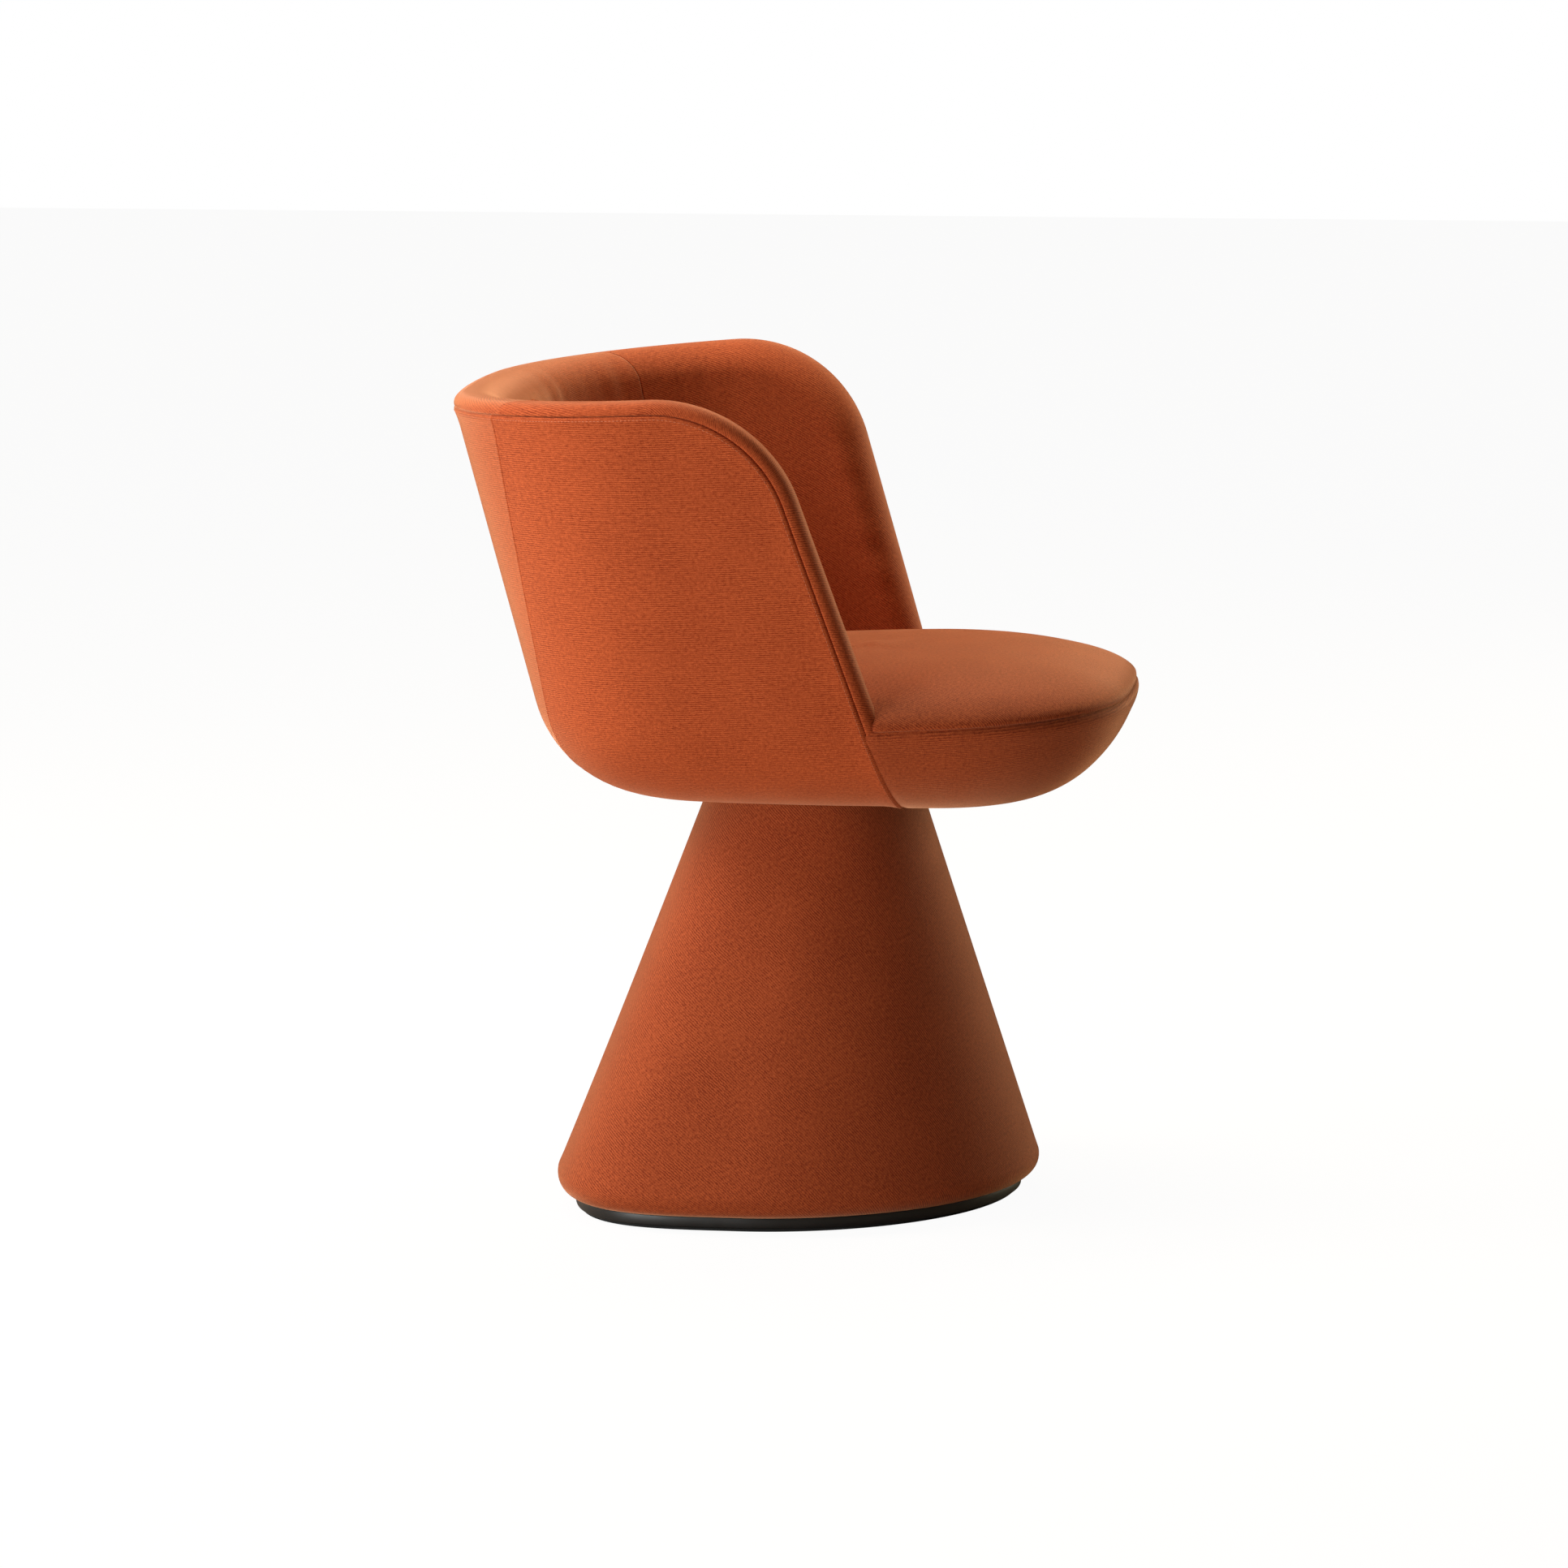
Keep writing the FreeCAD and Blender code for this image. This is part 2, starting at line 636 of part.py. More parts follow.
def cone_form(name, inset, bottom, top, rounding=None):
    """D-shaped cone with a steeper lean at the back and round back corners, between two levels."""
    body = new_body(name)
    sketch = cone_sketch(body, name + "_plan", inset)
    block = pad(body, name + "_rise", sketch, CONE_TOP + " + Sizes.hem_width")
    tall = value(CONE_TOP) / 2
    back = size("cone_at") + 1

    def behind(face):
        return face.BoundBox.YMin > back

    draft_walls(body, name + "_taper", block, 0, "Sizes.cone_taper", False, lambda face: not behind(face))
    draft_walls(body, name + "_back_taper", body.Tip, 0, "Sizes.cone_back_taper", False, behind)
    feature = trim(body, name + "_top", value(top), FAR + value(top))
    fillet(body, name + "_corners", feature, "Sizes.cone_corner_radius - (%s)" % inset,
           lambda edge: edge.BoundBox.ZLength > tall and edge.BoundBox.YMin > back)
    feature = trim(body, name + "_bottom", -FAR, value(bottom))
    if rounding:
        level = value(bottom)
        fillet(body, name + "_skirt", feature, rounding,
               lambda edge: max(abs(edge.BoundBox.ZMin - level), abs(edge.BoundBox.ZMax - level)) < LEVEL_TOLERANCE)
    return body


def cone_plate(name, inset, level, thickness):
    """Flat plate with the pedestal's plan."""
    body = new_body(name)
    sketch = cone_sketch(body, name + "_plan", inset, level)
    plate = pad(body, name + "_plate", sketch, thickness)
    low = value(thickness) / 2
    fillet(body, name + "_corners", plate, "Sizes.cone_corner_radius",
           lambda edge: edge.BoundBox.ZLength > low and edge.BoundBox.YMin > size("cone_at") + low)
    return body


def bolt_places(circle):
    """Centres of the bolts on their circle, as expressions."""
    places = []
    for i in range(BOLT_COUNT):
        turn = 360 / BOLT_COUNT * (i + 0.5)
        places.append(("%s / 2 * cos(%s deg)" % (circle, turn), "%s / 2 * sin(%s deg)" % (circle, turn)))
    return places


def hex_bolts(node, circle, radius, tip, seat, head_above):
    """Group of hexagon-head bolts whose shanks run between the tip and the face that the heads bear on."""
    bolts = []
    for i, (x, y) in enumerate(bolt_places(circle)):
        head = doc.addObject("Part::Prism", "%s_head_%d" % (node, i))
        head.Polygon = 6
        level = seat if head_above else "%s - Sizes.bolt_head_height" % seat
        bind(head, Circumradius="%s * Sizes.bolt_head_ratio" % radius, Height="Sizes.bolt_head_height",
             Placement__Base__x=x, Placement__Base__y=y, Placement__Base__z=level)
        low, high = (tip, seat) if head_above else (seat, tip)
        shank = cylinder("%s_shank_%d" % (node, i), radius, low, "%s - (%s)" % (high, low), x, y)
        bolts.append(fuse("%s_bolt_%d" % (node, i), head, shank))
    group = doc.addObject("Part::Compound", node + "_group")
    group.Links = bolts
    keep(node, group)


def drilled(name, blank, circle, radius, bottom, height):
    holes = [cylinder("%s_hole_%d" % (name, i), radius, bottom, height, x, y)
             for i, (x, y) in enumerate(bolt_places(circle))]
    return cut(name, blank, *holes)


def pedestal_pieces():
    hem_inset = "Sizes.plinth_inset + Sizes.hem_width"
    keep("floor_pad", cone_plate("floor_pad_form", "Sizes.pad_inset", "0", "Sizes.pad_thickness"))
    keep("plinth", cone_plate("plinth_form", "Sizes.plinth_inset", PLINTH_LEVEL,
                              "Sizes.cone_bottom - Sizes.pad_thickness"))
    board_top = "(%s + Sizes.board_thickness) * tan(Sizes.cone_taper * 1 deg)" % BOARD_LEVEL
    board = cone_plate("base_board_form", "%s + %s + Sizes.board_clearance" % (CONE_INSIDE, board_top), BOARD_LEVEL,
                       "Sizes.board_thickness")
    hole = "Sizes.foot_bolt_radius + Sizes.seat_clearance"
    keep("base_board", drilled("base_board_cut", board, "Sizes.foot_bolt_circle", hole, BOARD_LEVEL,
                               "Sizes.board_thickness"))
    ballast = cylinder("ballast_blank", "Sizes.ballast_radius", BALLAST_LEVEL, "Sizes.ballast_thickness")
    keep("ballast_plate", drilled("ballast_cut", ballast, "Sizes.foot_bolt_circle", hole, BALLAST_LEVEL,
                                  "Sizes.ballast_thickness"))
    foot = cylinder("foot_blank", "Sizes.foot_radius", FOOT_LEVEL, "Sizes.foot_thickness")
    keep("column_foot", drilled("foot_cut", foot, "Sizes.foot_bolt_circle", hole, FOOT_LEVEL,
                                "Sizes.foot_thickness"))
    hex_bolts("foot_bolts", "Sizes.foot_bolt_circle", "Sizes.foot_bolt_radius", BOARD_LEVEL, COLUMN_LEVEL, True)

    # Moulded cone and its fabric sleeve, which turns under the skirt
    outside = cone_form("cone_outside", "0", "Sizes.cone_bottom", CONE_TOP, "Sizes.skirt_round")
    lining = cone_form("cone_lining", "%s / %s" % (COVER, SLOPE), "Sizes.cone_bottom + " + COVER,
                       CONE_TOP + " + " + COVER, "Sizes.skirt_round - " + COVER)
    under = cone_form("cone_under_cover", CONE_UNDER, BOARD_LEVEL, CONE_TOP,
                      "Sizes.skirt_round - (%s)" % UNDER_COVER)
    inside = cone_form("cone_inside", CONE_INSIDE, "Sizes.cone_bottom", CONE_TOP + " + " + COVER)
    hem = cone_plate("hem_opening", hem_inset, "0", "Sizes.cone_bottom + Sizes.cone_wall")
    keep("cone_cover", cut("cone_cover_cut", outside, lining, hem))
    keep("cone_shell", cut("cone_shell_cut", under, inside))


# Swivel: a spindle that turns in two bushes in the top of the column

PLATE_LEVEL = BLOCK_FLOOR + " - Sizes.plate_thickness"
FLANGE_LEVEL = PLATE_LEVEL + " - Sizes.spindle_flange"
THRUST_LEVEL = FLANGE_LEVEL + " - Sizes.thrust_thickness"
UPPER_FLANGE = THRUST_LEVEL + " - Sizes.bush_flange"
COLUMN_TOP = UPPER_FLANGE + " - Sizes.hub_collar"
HUB_BOTTOM = COLUMN_TOP + " - Sizes.hub_length"
LOWER_FLANGE = HUB_BOTTOM + " - Sizes.bush_flange"
WASHER_LEVEL = LOWER_FLANGE + " - Sizes.washer_thickness"
CLIP_LEVEL = WASHER_LEVEL + " - Sizes.clip_thickness"
SPINDLE_TIP = CLIP_LEVEL + " - Sizes.spindle_tail"
BUSH_BORE = "Sizes.spindle_radius + Sizes.running_clearance"
BUSH_OUTER = BUSH_BORE + " + Sizes.bush_wall"
TUBE_BORE = "Sizes.column_radius - Sizes.column_wall"


def swivel_pieces():
    keep("column_tube", ring("column_tube_cut", "Sizes.column_radius", TUBE_BORE, COLUMN_LEVEL,
                             "%s - (%s)" % (COLUMN_TOP, COLUMN_LEVEL)))
    hub_bore = BUSH_OUTER + " + Sizes.seat_clearance"
    hub = fuse("hub_blank", cylinder("hub_body", TUBE_BORE + " - Sizes.seat_clearance", HUB_BOTTOM, "Sizes.hub_length"),
               cylinder("hub_collar_disc", "Sizes.hub_collar_radius", COLUMN_TOP, "Sizes.hub_collar"))
    keep("swivel_hub", cut("swivel_hub_cut", hub, cylinder("hub_bore_tool", hub_bore, HUB_BOTTOM,
                                                           "Sizes.hub_length + Sizes.hub_collar")))
    upper = fuse("upper_bush_blank", cylinder("upper_sleeve", BUSH_OUTER, "%s - Sizes.bush_length" % UPPER_FLANGE,
                                              "Sizes.bush_length"),
                 cylinder("upper_flange", "Sizes.bush_flange_radius", UPPER_FLANGE, "Sizes.bush_flange"))
    keep("upper_bush", cut("upper_bush_cut", upper, cylinder("upper_bore", BUSH_BORE,
                                                             "%s - Sizes.bush_length" % UPPER_FLANGE,
                                                             "Sizes.bush_length + Sizes.bush_flange")))
    lower = fuse("lower_bush_blank", cylinder("lower_sleeve", BUSH_OUTER, HUB_BOTTOM, "Sizes.bush_length"),
                 cylinder("lower_flange", "Sizes.bush_flange_radius", LOWER_FLANGE, "Sizes.bush_flange"))
    keep("lower_bush", cut("lower_bush_cut", lower, cylinder("lower_bore", BUSH_BORE, LOWER_FLANGE,
                                                             "Sizes.bush_length + Sizes.bush_flange")))
    keep("thrust_washer", ring("thrust_cut", "Sizes.thrust_radius", BUSH_BORE, THRUST_LEVEL, "Sizes.thrust_thickness"))
    ring_bore = "Sizes.column_radius + Sizes.seat_clearance"
    keep("cone_top_ring", ring("top_ring_cut", "Sizes.top_ring_radius", ring_bore,
                               "%s - Sizes.top_ring_drop" % COLUMN_TOP, "Sizes.top_ring_thickness"))

    shaft = cylinder("spindle_shaft", "Sizes.spindle_radius", SPINDLE_TIP, "%s - (%s)" % (FLANGE_LEVEL, SPINDLE_TIP))
    flange = cylinder("spindle_flange_disc", "Sizes.spindle_flange_radius", FLANGE_LEVEL, "Sizes.spindle_flange")
    groove = ring("spindle_groove", "Sizes.clip_radius", "Sizes.spindle_radius - Sizes.groove_depth", CLIP_LEVEL,
                  "Sizes.clip_thickness")
    keep("swivel_spindle", cut("spindle_cut", fuse("spindle_blank", shaft, flange), groove))
    clip_bore = "Sizes.spindle_radius - Sizes.groove_depth + Sizes.running_clearance"
    clip = ring("clip_ring", "Sizes.clip_radius", clip_bore, CLIP_LEVEL, "Sizes.clip_thickness")
    mouth = doc.addObject("Part::Cylinder", "clip_mouth")
    bind(mouth, Radius="2 * Sizes.clip_radius", Height="Sizes.clip_thickness", Angle="Sizes.clip_opening",
         Placement__Base__z=CLIP_LEVEL)
    keep("retaining_clip", cut("clip_cut", clip, mouth))
    keep("end_washer", ring("washer_cut", "Sizes.washer_radius", BUSH_BORE, WASHER_LEVEL, "Sizes.washer_thickness"))

    plate = cylinder("plate_blank", "Sizes.plate_radius", PLATE_LEVEL, "Sizes.plate_thickness")
    keep("seat_plate", drilled("plate_cut", plate, "Sizes.plate_bolt_circle",
                               "Sizes.plate_bolt_radius + Sizes.seat_clearance", PLATE_LEVEL, "Sizes.plate_thickness"))
    hex_bolts("seat_bolts", "Sizes.plate_bolt_circle", "Sizes.plate_bolt_radius", POCKET_FLOOR, PLATE_LEVEL, False)
    nuts = []
    for i, (x, y) in enumerate(bolt_places("Sizes.plate_bolt_circle")):
        half = "Sizes.pocket_floor / 2"
        barrel = cylinder("nut_barrel_%d" % i, "Sizes.nut_barrel_radius", "%s - %s" % (POCKET_FLOOR, half), half, x, y)
        disc = cylinder("nut_flange_%d" % i, "Sizes.nut_flange_radius", POCKET_FLOOR, "Sizes.nut_flange", x, y)
        bore = cylinder("nut_bore_%d" % i, "Sizes.plate_bolt_radius + Sizes.running_clearance",
                        "%s - %s" % (POCKET_FLOOR, half), half + " + Sizes.nut_flange", x, y)
        nuts.append(cut("nut_%d" % i, fuse("nut_blank_%d" % i, barrel, disc), bore))
    group = doc.addObject("Part::Compound", "tee_nut_group")
    group.Links = nuts
    keep("tee_nuts", group)


def write_parts():
    doc.recompute()
    failed = [item.Name for item in doc.Objects if "Invalid" in item.State or "Error" in item.State]
    failed += [node for node, item in NODES.items() if item.Shape.isNull() or not item.Shape.isValid()]
    failed += [node for node, item in NODES.items() if not item.Shape.Solids]
    if failed:
        raise RuntimeError("not built: " + ", ".join(failed))
    os.makedirs("parts", exist_ok=True)
    for node, item in NODES.items():
        item.Shape.exportStep("parts/%s.step" % node)
        print("%-24s %2d solids %9.1f cm3" % (node, len(item.Shape.Solids), item.Shape.Volume / 1000))


pedestal_pieces()
swivel_pieces()
seat_pieces(*tub_pieces())
write_parts()
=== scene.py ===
# %% [markdown]
# # Pedestal armchair
# A tub chair in burnt-orange wool twill turns on a cone-shaped pedestal that wears the same cloth.
# The rigid parts come from the frame. This file makes what a photograph of the chair shows: the padded
# tub with its rolled edge, the crowned seat, the sleeve on the cone, the seams and the stitches.
# Metres throughout. +Z is up, the chair faces -Y and +X is the sitter's left.

import json
import math

import bpy
import numpy as np
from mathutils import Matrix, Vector


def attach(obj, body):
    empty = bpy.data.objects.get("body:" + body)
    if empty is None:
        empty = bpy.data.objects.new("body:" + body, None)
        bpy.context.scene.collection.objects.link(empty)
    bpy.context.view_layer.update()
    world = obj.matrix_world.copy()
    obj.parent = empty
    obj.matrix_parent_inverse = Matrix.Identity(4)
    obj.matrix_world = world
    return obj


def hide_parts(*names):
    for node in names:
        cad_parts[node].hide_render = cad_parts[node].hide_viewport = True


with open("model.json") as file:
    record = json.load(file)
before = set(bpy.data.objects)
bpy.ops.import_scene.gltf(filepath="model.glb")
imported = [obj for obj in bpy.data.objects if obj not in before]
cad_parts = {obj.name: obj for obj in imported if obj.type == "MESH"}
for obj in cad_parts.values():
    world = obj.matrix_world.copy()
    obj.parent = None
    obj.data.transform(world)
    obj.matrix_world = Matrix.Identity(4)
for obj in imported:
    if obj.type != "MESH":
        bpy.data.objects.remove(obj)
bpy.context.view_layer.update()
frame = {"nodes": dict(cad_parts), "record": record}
scene = bpy.context.scene

# %% [markdown]
# ## Camera
# The chair was photographed almost from its right side, a little from the front and from above, with a
# long lens. The view was fitted to the outline of the chair, so the render can be laid over the photo.

# %% Camera
VIEW_AZIMUTH = math.radians(276.987)
VIEW_ELEVATION = math.radians(9.2912)
VIEW_DISTANCE = 5.5741
VIEW_TARGET = Vector((0, 0.0281, 0.3614))
LENS = 143.98

camera_data = bpy.data.cameras.new("photo camera")
camera_data.lens = LENS
camera_data.sensor_width = 36
camera = bpy.data.objects.new("photo camera", camera_data)
back = Vector((math.sin(VIEW_AZIMUTH) * math.cos(VIEW_ELEVATION),
               -math.cos(VIEW_AZIMUTH) * math.cos(VIEW_ELEVATION), math.sin(VIEW_ELEVATION)))
camera.location = VIEW_TARGET + back * VIEW_DISTANCE
camera.rotation_euler = back.to_track_quat("Z", "Y").to_euler()
scene.collection.objects.link(camera)
scene.camera = camera
print("camera at", [round(v, 3) for v in camera.location])

# %% [markdown]
# ## The shape of the tub
# Seen from above, the tub is a rounded rectangle of eight tangent arcs. Every level of its wall is the
# same outline moved in or out along its own normals, so one table of points and normals is enough for
# the outside, the inside and the rounded underside.

# %% Tub outline
UNDERSIDE = 0.366
HALF_WIDTH = 0.212
HALF_DEPTH = 0.2405
MIDDLE_Y = -0.0202
SIDE_RADIUS = 0.844
END_RADIUS = 0.798
CORNER_RADIUS = 0.144
FLARE = math.radians(14.87)
BOWL_RADIUS = 0.108
WALL = 0.048

BOWL_TURN = math.pi / 2 - FLARE
BOWL_FLAT = BOWL_RADIUS * math.tan(BOWL_TURN / 2)
RIM = UNDERSIDE + BOWL_RADIUS * (1 - math.sin(FLARE))


def corner_centre(side_x, side_reach, end_y, end_reach):
    """Centre of the corner arc, from the centres of the side arc and the end arc."""
    run = math.hypot(side_x, end_y)
    along = (end_reach ** 2 - side_reach ** 2 + run ** 2) / (2 * run)
    across = math.sqrt(end_reach ** 2 - along ** 2)
    x, y = side_x * along / run, end_y - end_y * along / run
    return x - end_y / run * across, y - side_x / run * across


def half_outline(samples=500):
    """Points, normals and running length of half the outline, from the front middle to the back middle."""
    side_x = HALF_WIDTH - SIDE_RADIUS
    end_y = HALF_DEPTH - END_RADIUS
    x, y = corner_centre(side_x, SIDE_RADIUS - CORNER_RADIUS, end_y, END_RADIUS - CORNER_RADIUS)
    low = math.atan2(y, x - side_x)
    high = math.atan2(y - end_y, x)
    quarter = math.pi / 2
    arcs = [
        (0, MIDDLE_Y - end_y, END_RADIUS, -quarter, -high),
        (x, MIDDLE_Y - y, CORNER_RADIUS, -high, -low),
        (side_x, MIDDLE_Y, SIDE_RADIUS, -low, low),
        (x, MIDDLE_Y + y, CORNER_RADIUS, low, high),
        (0, MIDDLE_Y + end_y, END_RADIUS, high, quarter),
    ]
    points, normals = [], []
    for cx, cy, radius, start, end in arcs:
        turn = np.linspace(start, end, samples)
        normal = np.stack([np.cos(turn), np.sin(turn)], 1)
        points.append(normal * radius + (cx, cy))
        normals.append(normal)
    points, normals = np.concatenate(points), np.concatenate(normals)
    length = np.concatenate([[0], np.cumsum(np.linalg.norm(np.diff(points, axis=0), axis=1))])
    return points, normals, length + np.arange(len(length)) * 1e-9


OUT_POINTS, OUT_NORMALS, OUT_LENGTH = half_outline()
BACK_S = OUT_LENGTH[-1]
print("half outline %.3f m, rim level %.3f m" % (BACK_S, RIM))

# %% [markdown]
# A place on the tub is given by s, the running length along the outline from the front middle, and q,
# the height above the rim. Below the rim q goes on as a length round the bowl and then along the flat
# underside. The inset is the depth into the padding.

# %% Places on the tub
def turn_of(q):
    return BOWL_TURN + np.minimum(q, 0) / BOWL_RADIUS


def offset_of(q, inset):
    """How far the outline moves out at height q and depth inset."""
    q, inset = np.asarray(q, float), np.asarray(inset, float)
    wall = (RIM + q - UNDERSIDE) * math.tan(FLARE) - inset / math.cos(FLARE)
    turn = turn_of(q)
    bowl = (BOWL_RADIUS - inset) * np.sin(np.maximum(turn, 0)) - BOWL_FLAT + np.minimum(turn, 0) * BOWL_RADIUS
    return np.where(q >= 0, wall, bowl)


def level_of(q, inset=0.0):
    bowl = UNDERSIDE + BOWL_RADIUS - (BOWL_RADIUS - np.asarray(inset)) * np.cos(np.maximum(turn_of(q), 0))
    return np.where(np.asarray(q) >= 0, RIM + np.asarray(q), bowl)


def on_tub(s, q, inset):
    """Point of the tub. A negative s is on the sitter's right."""
    s = np.asarray(s, float)
    offset = offset_of(q, inset)
    px, py = (np.interp(np.abs(s), OUT_LENGTH, OUT_POINTS[:, i]) for i in (0, 1))
    nx, ny = (np.interp(np.abs(s), OUT_LENGTH, OUT_NORMALS[:, i]) for i in (0, 1))
    side = np.where(s < 0, -1.0, 1.0)
    return np.stack(np.broadcast_arrays(side * (px + nx * offset), py + ny * offset, level_of(q, inset)), -1)


def s_at_y(y, offset):
    """Running length at which the outline, moved out by offset, crosses a given y."""
    y, offset = np.broadcast_arrays(np.asarray(y, float), np.asarray(offset, float))
    found = np.empty(y.shape)
    for at in np.ndindex(y.shape):
        found[at] = np.interp(y[at], OUT_POINTS[:, 1] + OUT_NORMALS[:, 1] * offset[at], OUT_LENGTH)
    return found


# A seam between the back and an arm follows a slanting line in plan: y in the middle, slope, lean at the roll
OUTER_SEAM = (0.1510, 0.471, 0.0)
INNER_SEAM = (-0.060, 1.203, 0.014)
LEAST_BACK = 0.02


def s_at_seam(seam, offset):
    """Running length of the seam that parts the back panel from an arm panel."""
    middle_y, slope, _ = seam
    moved = OUT_POINTS + OUT_NORMALS * float(offset)
    behind = moved[:, 1] - middle_y - slope * moved[:, 0]
    narrowest = BACK_S - LEAST_BACK
    if behind.max() <= 0:
        return narrowest
    first = np.argmax(behind > 0)
    return min(float(np.interp(0, behind[first - 1:first + 1], OUT_LENGTH[first - 1:first + 1])), narrowest)


print("outer seam at s %.3f" % s_at_seam(OUTER_SEAM, offset_of(0.2, 0)))

# %% [markdown]
# ## Side view of the back and arms
# From the side the tub is cut by a front line that leans back, a round shoulder and a top line that
# falls gently to the rear. Rows of points parallel to that edge carry the roll, the welt and the
# stitches, and the rows below them fan out to the foot of the panel.

# %% Edge of the tub
TOP_Z, TOP_Y, TOP_FALL = 0.7314, 0.100, math.radians(3.84)
FRONT_Y, FRONT_Z, ARM_LEAN = -0.086, 0.430, math.radians(17.9)
SHOULDER = 0.1224
FRONT_IN = np.array([math.cos(ARM_LEAN), -math.sin(ARM_LEAN)])
TOP_IN = np.array([-math.sin(TOP_FALL), -math.cos(TOP_FALL)])
front_line = np.array([FRONT_Y, FRONT_Z]) + SHOULDER * FRONT_IN
top_line = np.array([TOP_Y, TOP_Z]) + SHOULDER * TOP_IN
reach = np.dot(top_line - front_line, -TOP_IN) / math.cos(ARM_LEAN - TOP_FALL)
SHOULDER_AT = front_line + reach * np.array([math.sin(ARM_LEAN), math.cos(ARM_LEAN)])
FRONT_COLUMNS, SHOULDER_COLUMNS, ARM_COLUMNS, BACK_COLUMNS = 56, 40, 40, 44
SHOULDER_END = FRONT_COLUMNS + SHOULDER_COLUMNS - 1
SEAM_COLUMN = SHOULDER_END + ARM_COLUMNS
SEAM_CROWDING = 1.7
SEAM_Y = 0.2
EDGE_PASSES = 6
FAN_POWER = 1.1


def front_y(z, d):
    """The y of the front line at level z, set back by d."""
    return FRONT_Y + (np.asarray(z) - FRONT_Z) * math.tan(ARM_LEAN) + d / math.cos(ARM_LEAN)


def top_z(y, d):
    """The level of the top line at y, set down by d."""
    return TOP_Z - (np.asarray(y) - TOP_Y) * math.tan(TOP_FALL) - d / math.cos(TOP_FALL)


def to_seam(start, at_seam):
    """Columns from a place on the edge to the seam and on to the back, close together at the seam."""
    arm = 1 - np.linspace(1, 0, ARM_COLUMNS + 1) ** SEAM_CROWDING
    back = np.linspace(0, 1, BACK_COLUMNS + 1) ** SEAM_CROWDING
    return np.concatenate([start + (at_seam - start) * arm, (at_seam + (BACK_S - at_seam) * back)[1:]])


def edge_row(d, inset, seam, foot):
    """s and q of a row at distance d inside the edge: front line, shoulder, top to the seam, back."""
    radius = SHOULDER - d
    start = (SHOULDER_AT - radius * FRONT_IN)[1] - RIM
    q_front = np.linspace(foot, start, FRONT_COLUMNS, endpoint=False)
    turn = np.linspace(math.pi - ARM_LEAN, math.pi / 2 - TOP_FALL, SHOULDER_COLUMNS)
    q_side = np.concatenate([q_front, SHOULDER_AT[1] + radius * np.sin(turn) - RIM])
    y_side = np.concatenate([front_y(level_of(q_front), d), SHOULDER_AT[0] + radius * np.cos(turn)])
    s_side = s_at_y(y_side, offset_of(q_side, inset))
    q_seam = float(top_z(SEAM_Y, d)) - RIM
    over_roll = max(1 - inset / WALL, 0)
    at_seam = s_at_seam(seam, offset_of(q_seam, inset)) + seam[2] * over_roll
    s_top = to_seam(s_side[-1], at_seam)[1:]
    q_top = np.full(s_top.shape, q_seam)
    for _ in range(EDGE_PASSES):
        q_top = top_z(on_tub(s_top, q_top, inset)[..., 1], d) - RIM
    return np.concatenate([s_side, s_top]), np.concatenate([q_side, q_top])


def fan_rows(s_ring, q_ring, d, inset, seam, foot, count):
    """Rows from the innermost edge row down to the foot of the panel."""
    front_foot = float(s_at_y(front_y(level_of(foot), d), offset_of(foot, inset)))
    share = np.linspace(0, 1, SHOULDER_END + 1) ** FAN_POWER
    arm_foot = front_foot + (s_ring[SHOULDER_END] - front_foot) * share
    foot_s = np.concatenate([arm_foot, s_ring[SHOULDER_END + 1:]])
    rows_s, rows_q = [], []
    for fall in np.linspace(1, 0, count + 1)[1:]:
        s = foot_s + (s_ring - foot_s) * fall
        q = foot + (q_ring - foot) * fall
        at_seam = s_at_seam(seam, offset_of(q[SEAM_COLUMN], inset))
        s[SHOULDER_END:] = to_seam(s[SHOULDER_END], at_seam)
        rows_s.append(s)
        rows_q.append(q)
    return np.array(rows_s), np.array(rows_q)


def panel_rows(rings, insets, seam, foot, count):
    """s, q, ring and inset of all rows of a panel, from its edge to its foot."""
    edge = [edge_row(d, inset, seam, foot) for d, inset in zip(rings, insets)]
    s, q = (np.array([row[i] for row in edge]) for i in (0, 1))
    low_s, low_q = fan_rows(s[-1], q[-1], rings[-1], insets[-1], seam, foot, count)
    ring = np.concatenate([rings, np.full(count, rings[-1])])[:, None] * np.ones(s.shape[1])
    inset = np.concatenate([insets, np.full(count, insets[-1])])[:, None] * np.ones(s.shape[1])
    return np.concatenate([s, low_s]), np.concatenate([q, low_q]), ring, inset


print("shoulder centre y %.3f z %.3f" % tuple(SHOULDER_AT))

# %% [markdown]
# ## From rows of points to a mesh
# Each cover is a grid of points. Its UV map runs in metres along the cloth, so a twill drawn on it keeps
# its real pitch. The grid gets the cloth's thickness and closed edges, and faces outwards.

# %% Grid helpers
CLOTH = 0.0016


def lengths(points, axis):
    """Running length along one axis of a grid, averaged over the other."""
    step = np.linalg.norm(np.diff(points, axis=axis), axis=2).mean(1 - axis)
    return np.concatenate([[0], np.cumsum(step)])


